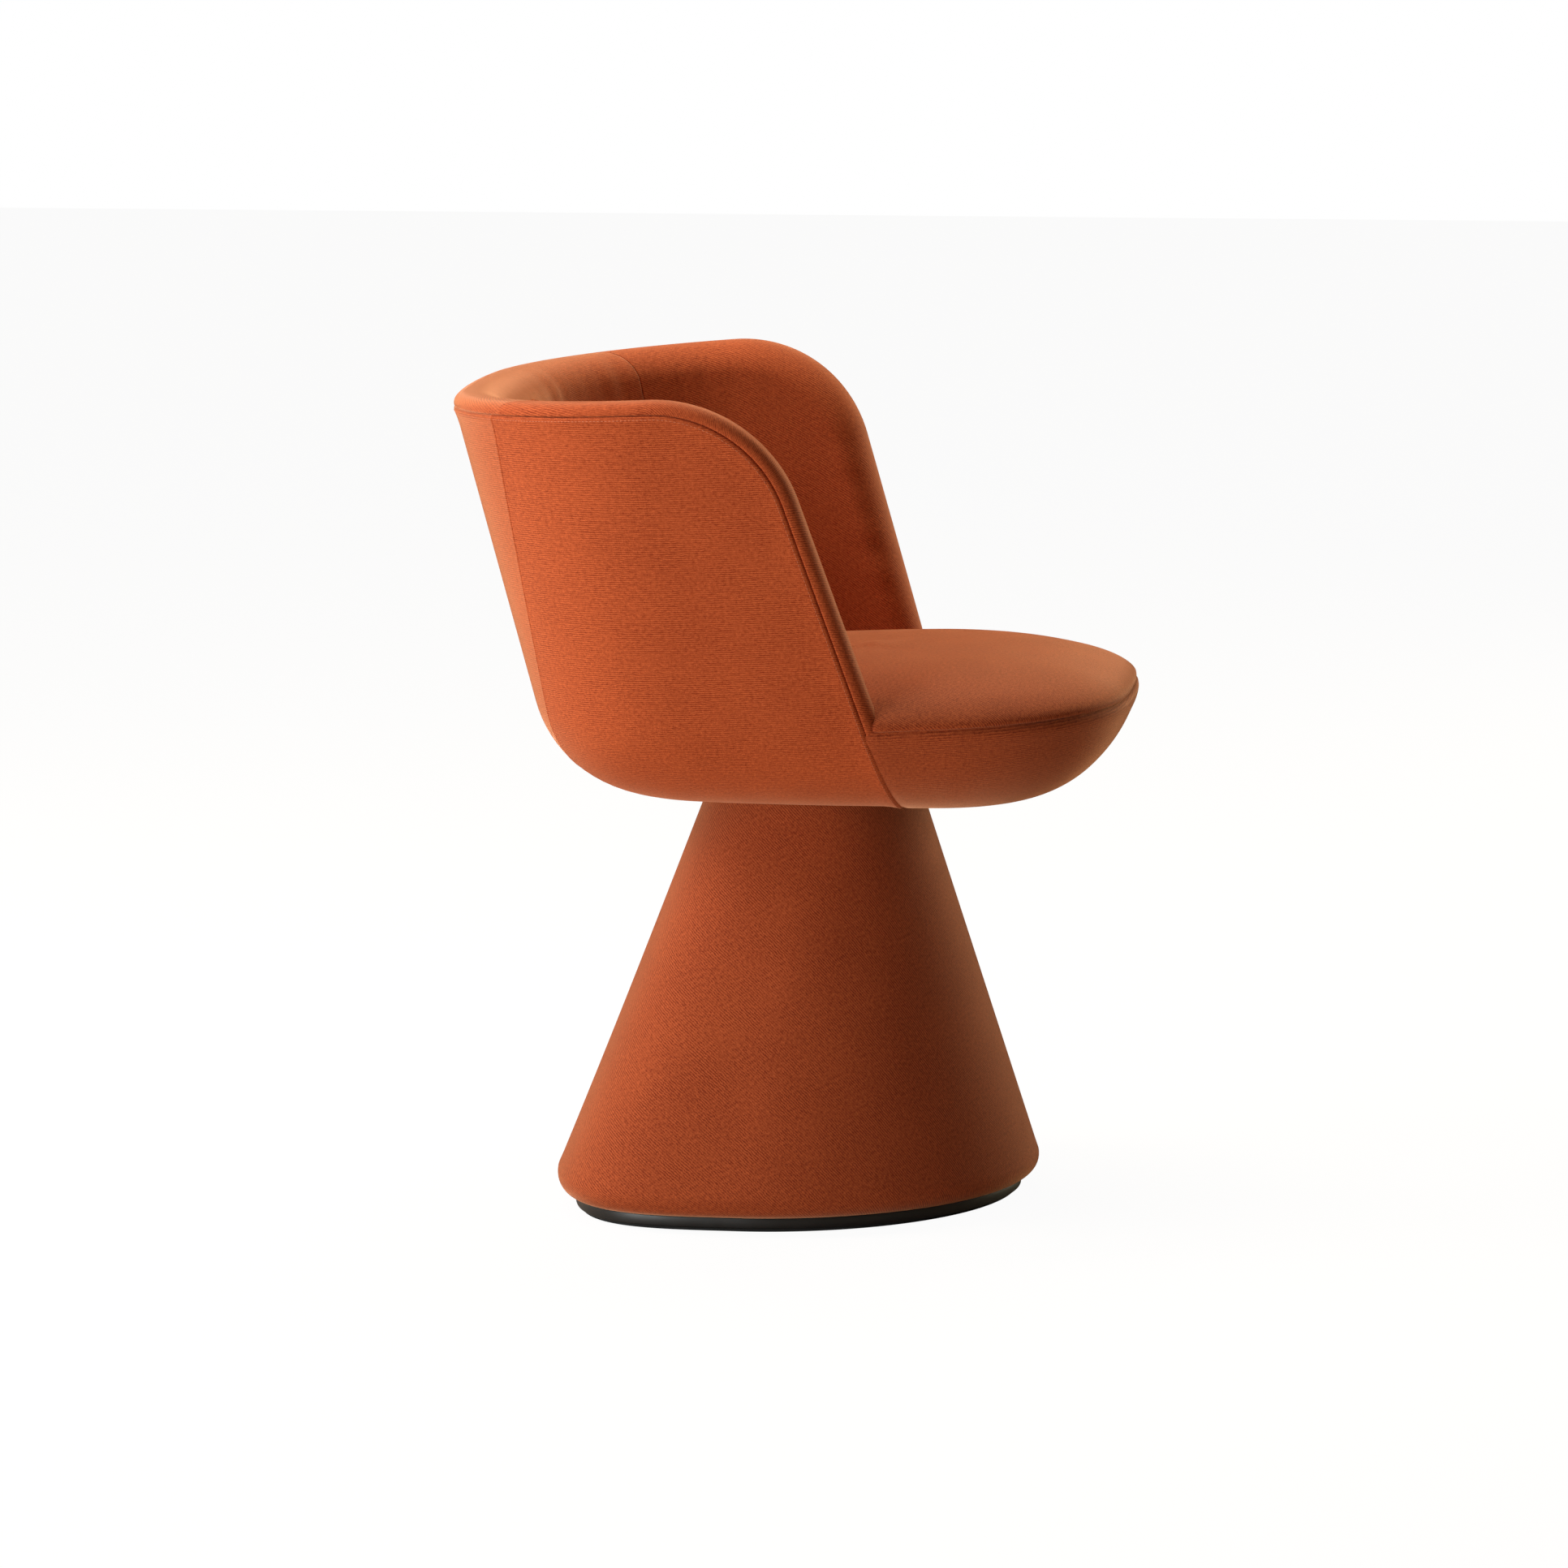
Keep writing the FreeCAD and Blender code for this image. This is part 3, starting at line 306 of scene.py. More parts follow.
def grid_object(name, points, cloth=None, closed=False, thickness=CLOTH, flip=False, capped=False):
    """Mesh of a grid of points (rows, columns, 3) with a UV map in metres and the cloth's thickness.

    A closed grid joins its last column to its first; a capped one also gets a face on each end ring.
    """
    rows, columns = points.shape[:2]
    if cloth is None:
        u, v = lengths(points, 1), lengths(points, 0)
        u = np.append(u, u[-1] + u[-1] / max(columns - 1, 1))
        cloth = np.stack(np.meshgrid(u, v), -1)
    r, c = np.meshgrid(np.arange(rows - 1), np.arange(columns if closed else columns - 1), indexing="ij")
    ring_r = np.stack([r, r, r + 1, r + 1], -1).reshape(-1, 4)
    ring_c = np.stack([c, c + 1, c + 1, c], -1).reshape(-1, 4)
    if flip:
        ring_r, ring_c = ring_r[:, ::-1], ring_c[:, ::-1]
    faces = ring_r * columns + ring_c % columns
    mesh = bpy.data.meshes.new(name)
    faces, corners = faces.tolist(), cloth[ring_r, ring_c].reshape(-1, 2)
    if capped:
        ring = np.arange(columns)
        for row, order in ((0, ring[::-1]), (rows - 1, ring)):
            faces.append((row * columns + (order[::-1] if flip else order)).tolist())
            corners = np.concatenate([corners, cloth[row, order[::-1] if flip else order]])
    mesh.from_pydata(points.reshape(-1, 3).tolist(), [], faces)
    layer = mesh.uv_layers.new(name="cloth")
    layer.data.foreach_set("uv", corners.astype(np.float32).ravel())
    mesh.polygons.foreach_set("use_smooth", [True] * len(mesh.polygons))
    piece = bpy.data.objects.new(name, mesh)
    scene.collection.objects.link(piece)
    if thickness:
        solid = piece.modifiers.new("cloth thickness", "SOLIDIFY")
        solid.thickness = thickness
        solid.offset = -1
    return piece


def both_sides(half):
    """Whole grid from the half whose last column is on the middle plane."""
    other = (half * (-1, 1, 1))[:, :-1]
    return np.concatenate([half, other[:, ::-1]], 1)


def bell(x, middle, width):
    return np.exp(-((x - middle) / width) ** 2)


def smooth_step(x, low, high):
    share = np.clip((x - low) / (high - low), 0, 1)
    return share * share * (3 - 2 * share)


def ripple(x, seed, waves):
    """Soft uneven wave made of a few sines with fixed phases."""
    draw = np.random.default_rng(seed)
    return sum(np.sin(2 * math.pi * x / wave + draw.uniform(0, 2 * math.pi)) for wave in waves) / len(waves)


# %% [markdown]
# ## Inner cover and rolled edge
# The cloth that lines the tub comes up the inside, goes over a foam roll and ends in the welt on the
# outside, about a centimetre below the top. A section through the wall gives the rows: a tuck into the
# seam, a tight round at the outer edge, a generous one at the inner edge and the inner face.

# %% Inner cover
INNER_ROUND, OUTER_ROUND, WELT = 0.027, 0.014, 0.0108
SEAM_DIP = 0.0035
FACE_RING = 0.066
SWELL, SWELL_HEIGHT = 0.006, 0.28
GATHER, WAVE = 0.0013, 0.0007
INNER_TUCK, ROLL_TUCK = -0.0016, 0.0005
INNER_ROWS, OUTER_ROWS = 24, 44
# The roll runs on a little below the rim, where the seat band covers its end
INNER_FOOT = -0.007


def roll_section():
    """Distance from the edge and depth in the wall of the rows, from the welt over to the inner face."""
    rings, insets = [WELT + 0.0006, WELT + 0.0002], [SEAM_DIP, SEAM_DIP * 0.4]
    for turn in np.linspace(math.pi / 2, 0, 12):
        rings.append(WELT * (1 - math.cos(turn)))
        insets.append(OUTER_ROUND * (1 - math.sin(turn)))
    for turn in np.linspace(math.pi / 2, 0, 15):
        rings.append(INNER_ROUND * (1 - math.sin(turn)))
        insets.append(WALL - INNER_ROUND * (1 - math.cos(turn)))
    rings += list(np.linspace(INNER_ROUND, FACE_RING, 11)[1:])
    insets += [WALL] * 10
    return np.array(rings), np.array(insets)


def inner_cover_half():
    rings, insets = roll_section()
    s, q, ring, inset = panel_rows(rings, insets, INNER_SEAM, INNER_FOOT, INNER_ROWS)
    column = np.arange(s.shape[1])[None, :]
    # Soft filling: the face swells between the roll and the seat, and the cloth gathers at the corners
    face = np.clip((inset / WALL - 0.5) / 0.5, 0, 1)
    swell = SWELL * np.sin(math.pi * np.clip(q / SWELL_HEIGHT, 0, 1)) ** 0.8 * face
    gather = ripple(s, 3, (0.017, 0.023, 0.031)) * bell(s, s[0, SEAM_COLUMN] + 0.03, 0.10)
    gather = gather * bell(ring, 0.022, 0.026) * (0.2 + 0.8 * face)
    waves = ripple(q, 5, (0.033, 0.051)) * bell(column, FRONT_COLUMNS * 0.6, 28) * bell(ring, 0.012, 0.02)
    seam = bell(column, SEAM_COLUMN, 1.3) * smooth_step(inset, 0, 0.006)
    tuck = np.where(face > 0.05, INNER_TUCK, ROLL_TUCK) * seam
    # Over the roll the cloth runs on at a right angle to the edge, at its length along the section
    last = len(rings) - 1
    run = np.concatenate([[0], np.cumsum(np.hypot(np.diff(rings), np.diff(insets)))])
    run = np.concatenate([run[-1] - run, np.zeros(s.shape[0] - len(run))])[:, None]
    turn = np.concatenate([np.full(FRONT_COLUMNS, math.pi - ARM_LEAN),
                           np.linspace(math.pi - ARM_LEAN, math.pi / 2, SHOULDER_COLUMNS),
                           np.full(ARM_COLUMNS + BACK_COLUMNS, math.pi / 2)])
    base_s = np.concatenate([np.repeat(s[last:last + 1], last, 0), s[last:]])
    base_q = np.concatenate([np.repeat(q[last:last + 1], last, 0), q[last:]])
    cloth = np.stack([base_s - BACK_S + run * np.cos(turn), base_q + run * np.sin(turn)], -1)
    return on_tub(s, q, inset + swell + GATHER * gather + WAVE * waves * face ** 0.5 + tuck), cloth


def panels(name, half, cloth, outside):
    """Back, left and right panels from the half grid and its cloth map."""
    arm, middle = slice(0, SEAM_COLUMN + 1), slice(SEAM_COLUMN, None)
    whole = both_sides(half[:, middle])
    whole_cloth = np.concatenate([cloth[:, middle], (cloth[:, middle] * (-1, 1))[:, :-1][:, ::-1]], 1)
    return (grid_object(name + "_back", whole, whole_cloth, flip=outside),
            grid_object(name + "_left", half[:, arm], cloth[:, arm], flip=outside),
            grid_object(name + "_right", half[:, arm] * (-1, 1, 1), cloth[:, arm] * (-1, 1),
                        flip=not outside))


inner_half, inner_cloth = inner_cover_half()
inner_back, inner_left, inner_right = panels("inner_pad", inner_half, inner_cloth, False)
print("inner cover:", inner_half.shape[:2], "points a side")

# %% [markdown]
# ## Outer cover
# Three panels wrap the outside. Their edge is folded and sewn just under the roll, which leaves a dark
# line and a narrow raised lip. Below the rim they turn under the bowl to the flat underside, and the
# front edge stands a little proud of the seat band.

# %% Outer cover
HEM = 0.014
FOOT_Q = -(BOWL_TURN * BOWL_RADIUS + HEM)
OUTER_RINGS = WELT + np.array(
    [0.0003, 0.0005, 0.0012, 0.0025, 0.0042, 0.007, 0.011, 0.018, 0.028, 0.040, 0.054])
OUTER_INSETS = np.array([0.0036, 0.0014, 0.0001, -0.0009, -0.0012, -0.0009, -0.0004, 0, 0, 0, 0])
LIP_ROW = int(OUTER_INSETS.argmin())
SEAM_GROOVE, SEAM_LIFT = 0.0009, 0.0004


def outer_cover_half():
    s, q, ring, inset = panel_rows(OUTER_RINGS, OUTER_INSETS, OUTER_SEAM, FOOT_Q, OUTER_ROWS)
    column = np.arange(s.shape[1])[None, :]
    proud = 1 + 0.5 * smooth_step(-q, -0.03, 0.02) * (column < FRONT_COLUMNS)
    inset = np.where(inset < 0, inset * proud, inset * np.where(q < 0.01, 0.4, 1))
    groove = SEAM_GROOVE * bell(column, SEAM_COLUMN, 1.2)
    lift = SEAM_LIFT * bell(column, SEAM_COLUMN, 4.5)
    cloth = np.stack([s - BACK_S, q], -1)
    return on_tub(s, q, inset + groove - lift), cloth


outer_half, outer_cloth = outer_cover_half()
outer_back, outer_left, outer_right = panels("outer_panel", outer_half, outer_cloth, True)
print("outer cover:", outer_half.shape[:2], "points a side")

# %% [markdown]
# ## Seat
# The seat is a thick crowned pad. Its top and its side band meet in a seam round the rim, with a soft
# roll just above the seam. Behind the arms' front edges the pad draws in to fit between them. The cloth
# solver then swells the crown a little while the edge is held. Its swelling is softened and scaled, so that
# the top keeps the height it was given.

# %% Seat pad
RIM_MIDDLE, RIM_TILT = 0.4416, 0.0445
RIM_INSET, ARM_CLEARANCE = 0.0012, 0.001
CROWN, CROWN_POWER = 0.0350, 3.1
LIP_RADIUS, LIP_START = 0.0042, math.radians(-60)
EDGE_WIDTH, EDGE_HEIGHT = 0.034, 0.0085
CROWN_ROWS, TURN_ROWS, LIP_ROWS = 40, 18, 6
SWELLING, PRESSURE, SOLVER_FRAMES = 0.0022, 4, 12
HELD_ROWS, FADE_ROWS, SOFTENING = 12, 16, 24


def rim_level(y):
    """Level of the rim seam, which rises a little towards the front."""
    return RIM_MIDDLE - RIM_TILT * (np.asarray(y) - MIDDLE_Y)


def seat_inset(s):
    """How far the pad draws in: nothing in front, the wall's thickness between the arms."""
    arm = float(s_at_y(front_y(RIM, 0.0), offset_of(0, 0)))
    return RIM_INSET + (WALL + ARM_CLEARANCE) * smooth_step(np.abs(s), arm + 0.002, arm + 0.028)


def seat_outline(count=150):
    s = np.linspace(-BACK_S, BACK_S, 2 * count, endpoint=False)
    points = on_tub(s, 0.0, seat_inset(s))
    points[:, 2] = rim_level(points[:, 1])
    return s, points


def seat_section():
    """Distance in from the seam and height above it: a small bulge, then the soft turn to the crown."""
    low = np.linspace(LIP_START, 0, LIP_ROWS, endpoint=False)
    turn = np.linspace(0, math.pi / 2, TURN_ROWS)
    inwards = np.concatenate([LIP_RADIUS * (math.cos(LIP_START) - np.cos(low)),
                              LIP_RADIUS * (math.cos(LIP_START) - 1) + EDGE_WIDTH * (1 - np.cos(turn))])
    height = np.concatenate([LIP_RADIUS * (np.sin(low) - math.sin(LIP_START)),
                             -LIP_RADIUS * math.sin(LIP_START) + EDGE_HEIGHT * np.sin(turn)])
    return inwards, height


def seat_grid():
    """Rows of the pad: the crown from its middle outwards, then the edge down to the seam."""
    s, edge = seat_outline()
    centre = np.array([0, MIDDLE_Y - 0.02, 0])
    outwards = (edge - centre) * (1, 1, 0)
    reach = np.linalg.norm(outwards, axis=1)
    outwards /= reach[:, None]
    # Between the arms the crown is cut off by their inner faces, so its share is that of the whole rim
    full = reach / np.linalg.norm((on_tub(s, 0.0, RIM_INSET) - centre)[:, :2], axis=1)
    section_in, section_up = seat_section()
    parts = np.linspace(0.05, 1, CROWN_ROWS, endpoint=False)
    steps = [(reach + (section_in[-1] - reach) * part, section_up[-1]) for part in parts]
    steps += [(np.full(reach.shape, u), h) for u, h in zip(section_in[::-1], section_up[::-1])]
    rows, cloth = [], []
    for inwards, height in steps:
        row = edge - outwards * inwards[:, None]
        share = full * np.clip(1 - (inwards - section_in.min()) / reach, 0, 1)
        row[:, 2] = rim_level(row[:, 1]) + height + (CROWN - SWELLING) * (1 - share ** CROWN_POWER)
        run = np.linalg.norm(row - rows[-1], axis=1)[:, None] if rows else 0
        cloth.append(cloth[-1] + outwards[:, :2] * run if rows else row[:, :2])
        rows.append(row)
    return np.array(rows), np.array(cloth)


def inflate(piece, rows, held, rise):
    """Swell a pad with the cloth solver. Held points stay, and the swelling is scaled to the given rise."""
    piece.vertex_groups.new(name="held").add(held, 1.0, "REPLACE")
    modifier = piece.modifiers.new("swelling", "CLOTH")
    settings = modifier.settings
    settings.vertex_group_mass = "held"
    settings.use_pressure = True
    settings.uniform_pressure_force = PRESSURE
    settings.effector_weights.gravity = 0
    settings.quality = 3
    modifier.collision_settings.use_collision = False
    modifier.point_cache.frame_start, modifier.point_cache.frame_end = 1, SOLVER_FRAMES
    for moment in range(1, SOLVER_FRAMES + 1):
        scene.frame_set(moment)
    swollen = piece.evaluated_get(bpy.context.evaluated_depsgraph_get()).data
    before, after = (np.empty(3 * len(piece.data.vertices)) for _ in range(2))
    piece.data.vertices.foreach_get("co", before)
    swollen.vertices.foreach_get("co", after)
    moved = (after - before).reshape(rows, -1, 3)
    piece.modifiers.remove(modifier)
    scene.frame_set(1)
    # The filling under the cloth softens its sharp folds
    for _ in range(SOFTENING):
        round_about = (np.roll(moved, 1, 1) + np.roll(moved, -1, 1)) / 4 + moved / 2
        moved[1:-1] = round_about[1:-1] / 2 + (round_about[2:] + round_about[:-2]) / 4
        moved.reshape(-1, 3)[held] = 0
    first_held = held[0] // moved.shape[1]
    moved *= 1 - smooth_step(np.arange(rows), first_held - FADE_ROWS, first_held)[:, None, None]
    most = moved[..., 2].max()
    print("cloth solver lifted the pad by %.4f m, kept as %.4f m" % (most, rise))
    moved *= rise / most
    piece.data.vertices.foreach_set("co", before + moved.ravel())
    piece.data.update()


seat_points, seat_cloth = seat_grid()
pad_rows = len(seat_points)
tuck_under = seat_points[-1] * (0.985, 0.985, 1) - (0, 0, 0.004)
under_rows = [tuck_under]
for share in (0.7, 0.35, 0.1):
    under_rows.append(np.array([0, MIDDLE_Y, 0]) * (1 - share) + tuck_under * (share, share, 1))
seat_points = np.concatenate([seat_points, np.array(under_rows)])
seat_cloth = np.concatenate([seat_cloth, np.array(under_rows)[..., :2]])
seat_cloth = np.concatenate([seat_cloth, seat_cloth[:, :1]], 1)
seat_pad = grid_object("seat_pad", seat_points, seat_cloth, closed=True, thickness=0, flip=True, capped=True)
columns = seat_points.shape[1]
held_points = list(range((pad_rows - HELD_ROWS) * columns, len(seat_points) * columns))
inflate(seat_pad, len(seat_points), held_points, SWELLING)
print("seat pad top at %.3f m" % max(vertex.co.z for vertex in seat_pad.data.vertices))

# %% [markdown]
# The band covers the front of the bowl, from the rim seam to the underside, and runs on under the outer
# panels' front edges.

# %% Seat band
BAND_HEM, BAND_OVERLAP, BAND_TUCK = 0.010, 0.030, 0.0032
SEAM_ROWS, BOWL_ROWS, BAND_COLUMNS = 10, 30, 181


def band_grid():
    arm = float(s_at_y(front_y(RIM, 0.0), offset_of(0, 0)))
    s = np.linspace(-1, 1, BAND_COLUMNS)
    rows, cloth = [], []
    # The first row is the hem under the pad, and the next ones lie close together at the seam
    close, wide = np.linspace(0, 0.1, SEAM_ROWS, endpoint=False), np.linspace(0.1, 1, BOWL_ROWS)
    shares = np.concatenate([[0], close, wide])
    for share, hem in zip(shares, [BAND_HEM] + [0] * (SEAM_ROWS + BOWL_ROWS)):
        # Each row ends a little behind the outer panel's front edge
        guess = arm
        for _ in range(4):
            y_here = on_tub(guess, 0.0, 0)[1]
            q_top = float(rim_level(y_here)) - RIM
            q = q_top + (FOOT_Q - q_top) * share
            guess = float(s_at_y(front_y(level_of(q), BAND_OVERLAP), offset_of(q, 0)))
        along = s * guess
        y_top = on_tub(along, 0.0, 0)[:, 1]
        q_top = rim_level(y_top) - RIM
        q = q_top + (FOOT_Q - q_top) * share
        hidden = smooth_step(np.abs(along), guess - 0.026, guess - 0.012) * BAND_TUCK
        groove = 0.0030 * math.exp(-(share / 0.016) ** 2) - 0.0010 * math.exp(-((share - 0.05) / 0.05) ** 2)
        rows.append(on_tub(along, q - 0.55 * hem, hidden + groove + hem))
        cloth.append(np.stack([along, q + hem], -1))
    return np.array(rows), np.array(cloth)


band_points, band_cloth = band_grid()
seat_band = grid_object("seat_band", band_points, band_cloth)
print("seat band:", band_points.shape[:2])

# %% [markdown]
# ## Pedestal
# The pedestal is a leaning cone with a D-shaped foot: broad and flat behind, round in front. Its cloth
# sleeve is one ruled surface between the foot's outline and a small ellipse at the top, with a soft
# turn under the skirt.

# %% Cone sleeve
FOOT_MIDDLE, FOOT_HALF, FOOT_FRONT, FOOT_BACK = 0.0415, 0.2028, 0.2265, 0.1631
FRONT_POWER, BACK_POWER = 1.906, 3.717
SKIRT_OUT, SKIRT_Z, SKIRT_ROUND = 0.0159, 0.0311, 0.016
SKIRT_LOW, SKIRT_CENTRE, SLEEVE_START = 0.0133, 0.0293, 0.040
TOP_HALF_X, TOP_HALF_Y, TOP_CONE_Z, SLEEVE_TOP = 0.100, 0.0904, 0.3712, 0.3635
CONE_APEX, LINER_LOW, LINER_WALL = 0.626, 0.028, 0.006
CONE_COLUMNS, SLEEVE_ROWS = 300, 60


def foot_outline(grow):
    """Plan of the foot, grown all round; a rounder power in front and a squarer one behind."""
    turn = np.linspace(0, 2 * math.pi, CONE_COLUMNS, endpoint=False) + math.pi / 2
    cos, sin = np.cos(turn), np.sin(turn)
    power = np.where(sin < 0, FRONT_POWER, BACK_POWER)
    deep = np.where(sin < 0, FOOT_FRONT, FOOT_BACK)
    x = FOOT_HALF * np.sign(cos) * np.abs(cos) ** (2 / power)
    y = FOOT_MIDDLE + deep * np.sign(sin) * np.abs(sin) ** (2 / power)
    near = np.stack([x, y], -1)
    along = np.roll(near, -1, 0) - np.roll(near, 1, 0)
    normal = np.stack([along[:, 1], -along[:, 0]], -1)
    normal /= np.linalg.norm(normal, axis=1)[:, None]
    return near + normal * grow


def even_columns(outline):
    """The same outline with evenly spaced points, starting at the back middle."""
    loop = np.concatenate([outline, outline[:1]])
    run = np.concatenate([[0], np.cumsum(np.linalg.norm(np.diff(loop, axis=0), axis=1))])
    at = np.linspace(0, run[-1], CONE_COLUMNS, endpoint=False)
    return np.stack([np.interp(at, run, loop[:, i]) for i in (0, 1)], -1)


skirt = even_columns(foot_outline(SKIRT_OUT))
skirt_turn = np.arctan2(skirt[:, 1] - FOOT_MIDDLE, skirt[:, 0])
cone_top = np.stack([TOP_HALF_X * np.cos(skirt_turn), TOP_HALF_Y * np.sin(skirt_turn)], -1)


def sleeve_grid():
    rows = []
    inward = even_columns(foot_outline(0)) - skirt
    inward /= np.linalg.norm(inward, axis=1)[:, None]
    for out in (0.030, 0.012):
        rows.append(np.column_stack([skirt + inward * (SKIRT_ROUND + out), np.full(CONE_COLUMNS, SKIRT_LOW)]))
    for turn in np.linspace(-math.pi / 2, math.radians(12), 14):
        ring = skirt + inward * SKIRT_ROUND * (1 - math.cos(turn))
        level = SKIRT_CENTRE + SKIRT_ROUND * math.sin(turn)
        rows.append(np.column_stack([ring, np.full(CONE_COLUMNS, level)]))
    for z in np.linspace(SLEEVE_START, SLEEVE_TOP, SLEEVE_ROWS):
        share = (z - SKIRT_Z) / (TOP_CONE_Z - SKIRT_Z)
        ring = skirt + (cone_top - skirt) * share
        rows.append(np.column_stack([ring, np.full(CONE_COLUMNS, z)]))
    top = rows[-1]
    for share, drop in ((0.985, 0.0003), (0.93, 0.0008), (0.90, 0.004)):
        rows.append(top * (share, share, 1) - (0, 0, drop))
    return np.array(rows)


def sleeve_cloth(points):
    """The sleeve as it was cut: the cone rolled out flat, with its seam at the back."""
    around = lengths(skirt[None], 1)
    around = np.append(around, around[-1] + around[1])
    slant = math.hypot(CONE_APEX, FOOT_HALF + SKIRT_OUT)
    fan = (around - around[-1] / 2) / slant
    radius = slant * (1 - (points[:, :1, 2] - SKIRT_Z) / CONE_APEX)
    return np.stack([radius * np.sin(fan), -radius * np.cos(fan)], -1)


sleeve_points = sleeve_grid()
cone_sleeve = grid_object("cone_sleeve", sleeve_points, sleeve_cloth(sleeve_points), closed=True)
wall_rows = sleeve_points[sleeve_points[:, 0, 2] > LINER_LOW][:-3]
cone_liner = grid_object("cone_liner", wall_rows * (0.98, 0.98, 1), closed=True, thickness=LINER_WALL)
print("cone sleeve: %.3f m wide" % np.ptp(sleeve_points[..., 0]))

# %% [markdown]
# The plinth is a flat black board set in under the skirt, with a felt sheet below it.

# %% Plinth
FELT_TOP, PLINTH_TOP, FELT_INSET = 0.003, 0.0132, 0.004
MIDDLE_RING = -0.12


def foot_board(name, grow, low, high, edge):
    """Closed board with the foot's plan and softened edges."""
    rows = []
    cut = edge * 0.3
    section = ((MIDDLE_RING, low), (-edge, low), (-cut, low + cut), (0, low + edge),
               (0, high - edge), (-cut, high - cut), (-edge, high), (MIDDLE_RING, high))
    for out, z in section:
        rows.append(np.column_stack([foot_outline(grow + out), np.full(CONE_COLUMNS, z)]))
    return grid_object(name, np.array(rows), closed=True, thickness=0, capped=True)


plinth_board = foot_board("plinth_board", 0.0, FELT_TOP, PLINTH_TOP, 0.0012)
felt_sheet = foot_board("felt_sheet", -FELT_INSET, 0.0, FELT_TOP, 0.0006)
print("plinth and felt made")

# %% [markdown]
# ## Stitches
# The outer panels' folded edge and the rim seam are topstitched. One small tree lays a stitch at every
# step along a path, so all rows share the same thread, length and spacing.

# %% Stitch tree
def stitch_tree():
    tree = bpy.data.node_groups.new("stitch row", "GeometryNodeTree")
    face = tree.interface
    face.new_socket("Path", in_out="INPUT", socket_type="NodeSocketGeometry")
    for label, default in (("Pitch", 0.0042), ("Length", 0.0030), ("Width", 0.0008)):
        face.new_socket(label, in_out="INPUT", socket_type="NodeSocketFloat").default_value = default
    face.new_socket("Thread", in_out="INPUT", socket_type="NodeSocketMaterial")
    face.new_socket("Stitches", in_out="OUTPUT", socket_type="NodeSocketGeometry")
    nodes, links = tree.nodes, tree.links
    given, result = nodes.new("NodeGroupInput"), nodes.new("NodeGroupOutput")
    points = nodes.new("GeometryNodeCurveToPoints")
    points.mode = "LENGTH"
    thread = nodes.new("GeometryNodeMeshUVSphere")
    thread.inputs["Segments"].default_value = 6
    thread.inputs["Rings"].default_value = 5
    thread.inputs["Radius"].default_value = 0.5
    size = nodes.new("ShaderNodeCombineXYZ")
    lay = nodes.new("GeometryNodeInstanceOnPoints")
    real = nodes.new("GeometryNodeRealizeInstances")
    paint = nodes.new("GeometryNodeSetMaterial")
    links.new(given.outputs["Path"], points.inputs["Curve"])
    links.new(given.outputs["Pitch"], points.inputs["Length"])
    links.new(points.outputs["Points"], lay.inputs["Points"])
    links.new(points.outputs["Rotation"], lay.inputs["Rotation"])
    links.new(thread.outputs["Mesh"], lay.inputs["Instance"])
    links.new(given.outputs["Width"], size.inputs["X"])
    links.new(given.outputs["Width"], size.inputs["Y"])
    links.new(given.outputs["Length"], size.inputs["Z"])
    links.new(size.outputs["Vector"], lay.inputs["Scale"])
    links.new(lay.outputs["Instances"], real.inputs["Geometry"])
    links.new(real.outputs["Geometry"], paint.inputs["Geometry"])
    links.new(given.outputs["Thread"], paint.inputs["Material"])
    links.new(paint.outputs["Geometry"], result.inputs["Stitches"])
    return tree


STITCHES = stitch_tree()


def stitch_row(name, paths, **sizes):
    """Mesh of stitches along one or more paths."""
    curve = bpy.data.curves.new(name + " path", "CURVE")
    curve.dimensions = "3D"
    for path in paths:
        spline = curve.splines.new("POLY")
        spline.points.add(len(path) - 1)
        spline.points.foreach_set("co", np.column_stack([path, np.ones(len(path))]).ravel())
    guide = bpy.data.objects.new(name + " path", curve)
    scene.collection.objects.link(guide)
    sew = guide.modifiers.new("stitches", "NODES")
    sew.node_group = STITCHES
    sockets = {item.name: item.identifier for item in STITCHES.interface.items_tree if item.in_out == "INPUT"}
    for label, number in sizes.items():
        sew[sockets[label]] = number
    sew[sockets["Thread"]] = thread_material
    depsgraph = bpy.context.evaluated_depsgraph_get()
    mesh = bpy.data.meshes.new_from_object(guide.evaluated_get(depsgraph))
    mesh.name = name
    piece = bpy.data.objects.new(name, mesh)
    scene.collection.objects.link(piece)
    bpy.data.objects.remove(guide)
    return piece


# %% [markdown]
# ## Wool twill
# The cloth is a fine wool twill: slanting ribs about two millimetres apart, broken into short yarns,
# with hairs of a lighter and a darker orange mixed in. It is built once as a shader group. Each material
# places it with its own rib direction, because the cloth is laid differently on the cone and the tub.

# %% Weave group
RIB_PITCH = 0.0019
WANDER, WANDER_SCALE = 0.0016, 260.0
HAIR_SCALE, HEATHER_SCALE, CLOUD_SCALE, PATCH_SCALE = 1100.0, 340.0, 16.0, 42.0
RIB_SHARE, YARN_SHARE, WEAVE_MEAN = 0.34, 0.30, 0.245
HAIR_SHARE, HEATHER_SHARE, CLOUD_SHARE = 0.9, 0.7, 0.16


def math_node(nodes, links, operation, first, second=None):
    """Math node fed by sockets or plain numbers; returns its output."""
    node = nodes.new("ShaderNodeMath")
    node.operation = operation
    for slot, source in zip(node.inputs, (first, second)):
        if source is None:
            continue
        if isinstance(source, (int, float)):
            slot.default_value = source
        else:
            links.new(source, slot)
    return node.outputs[0]


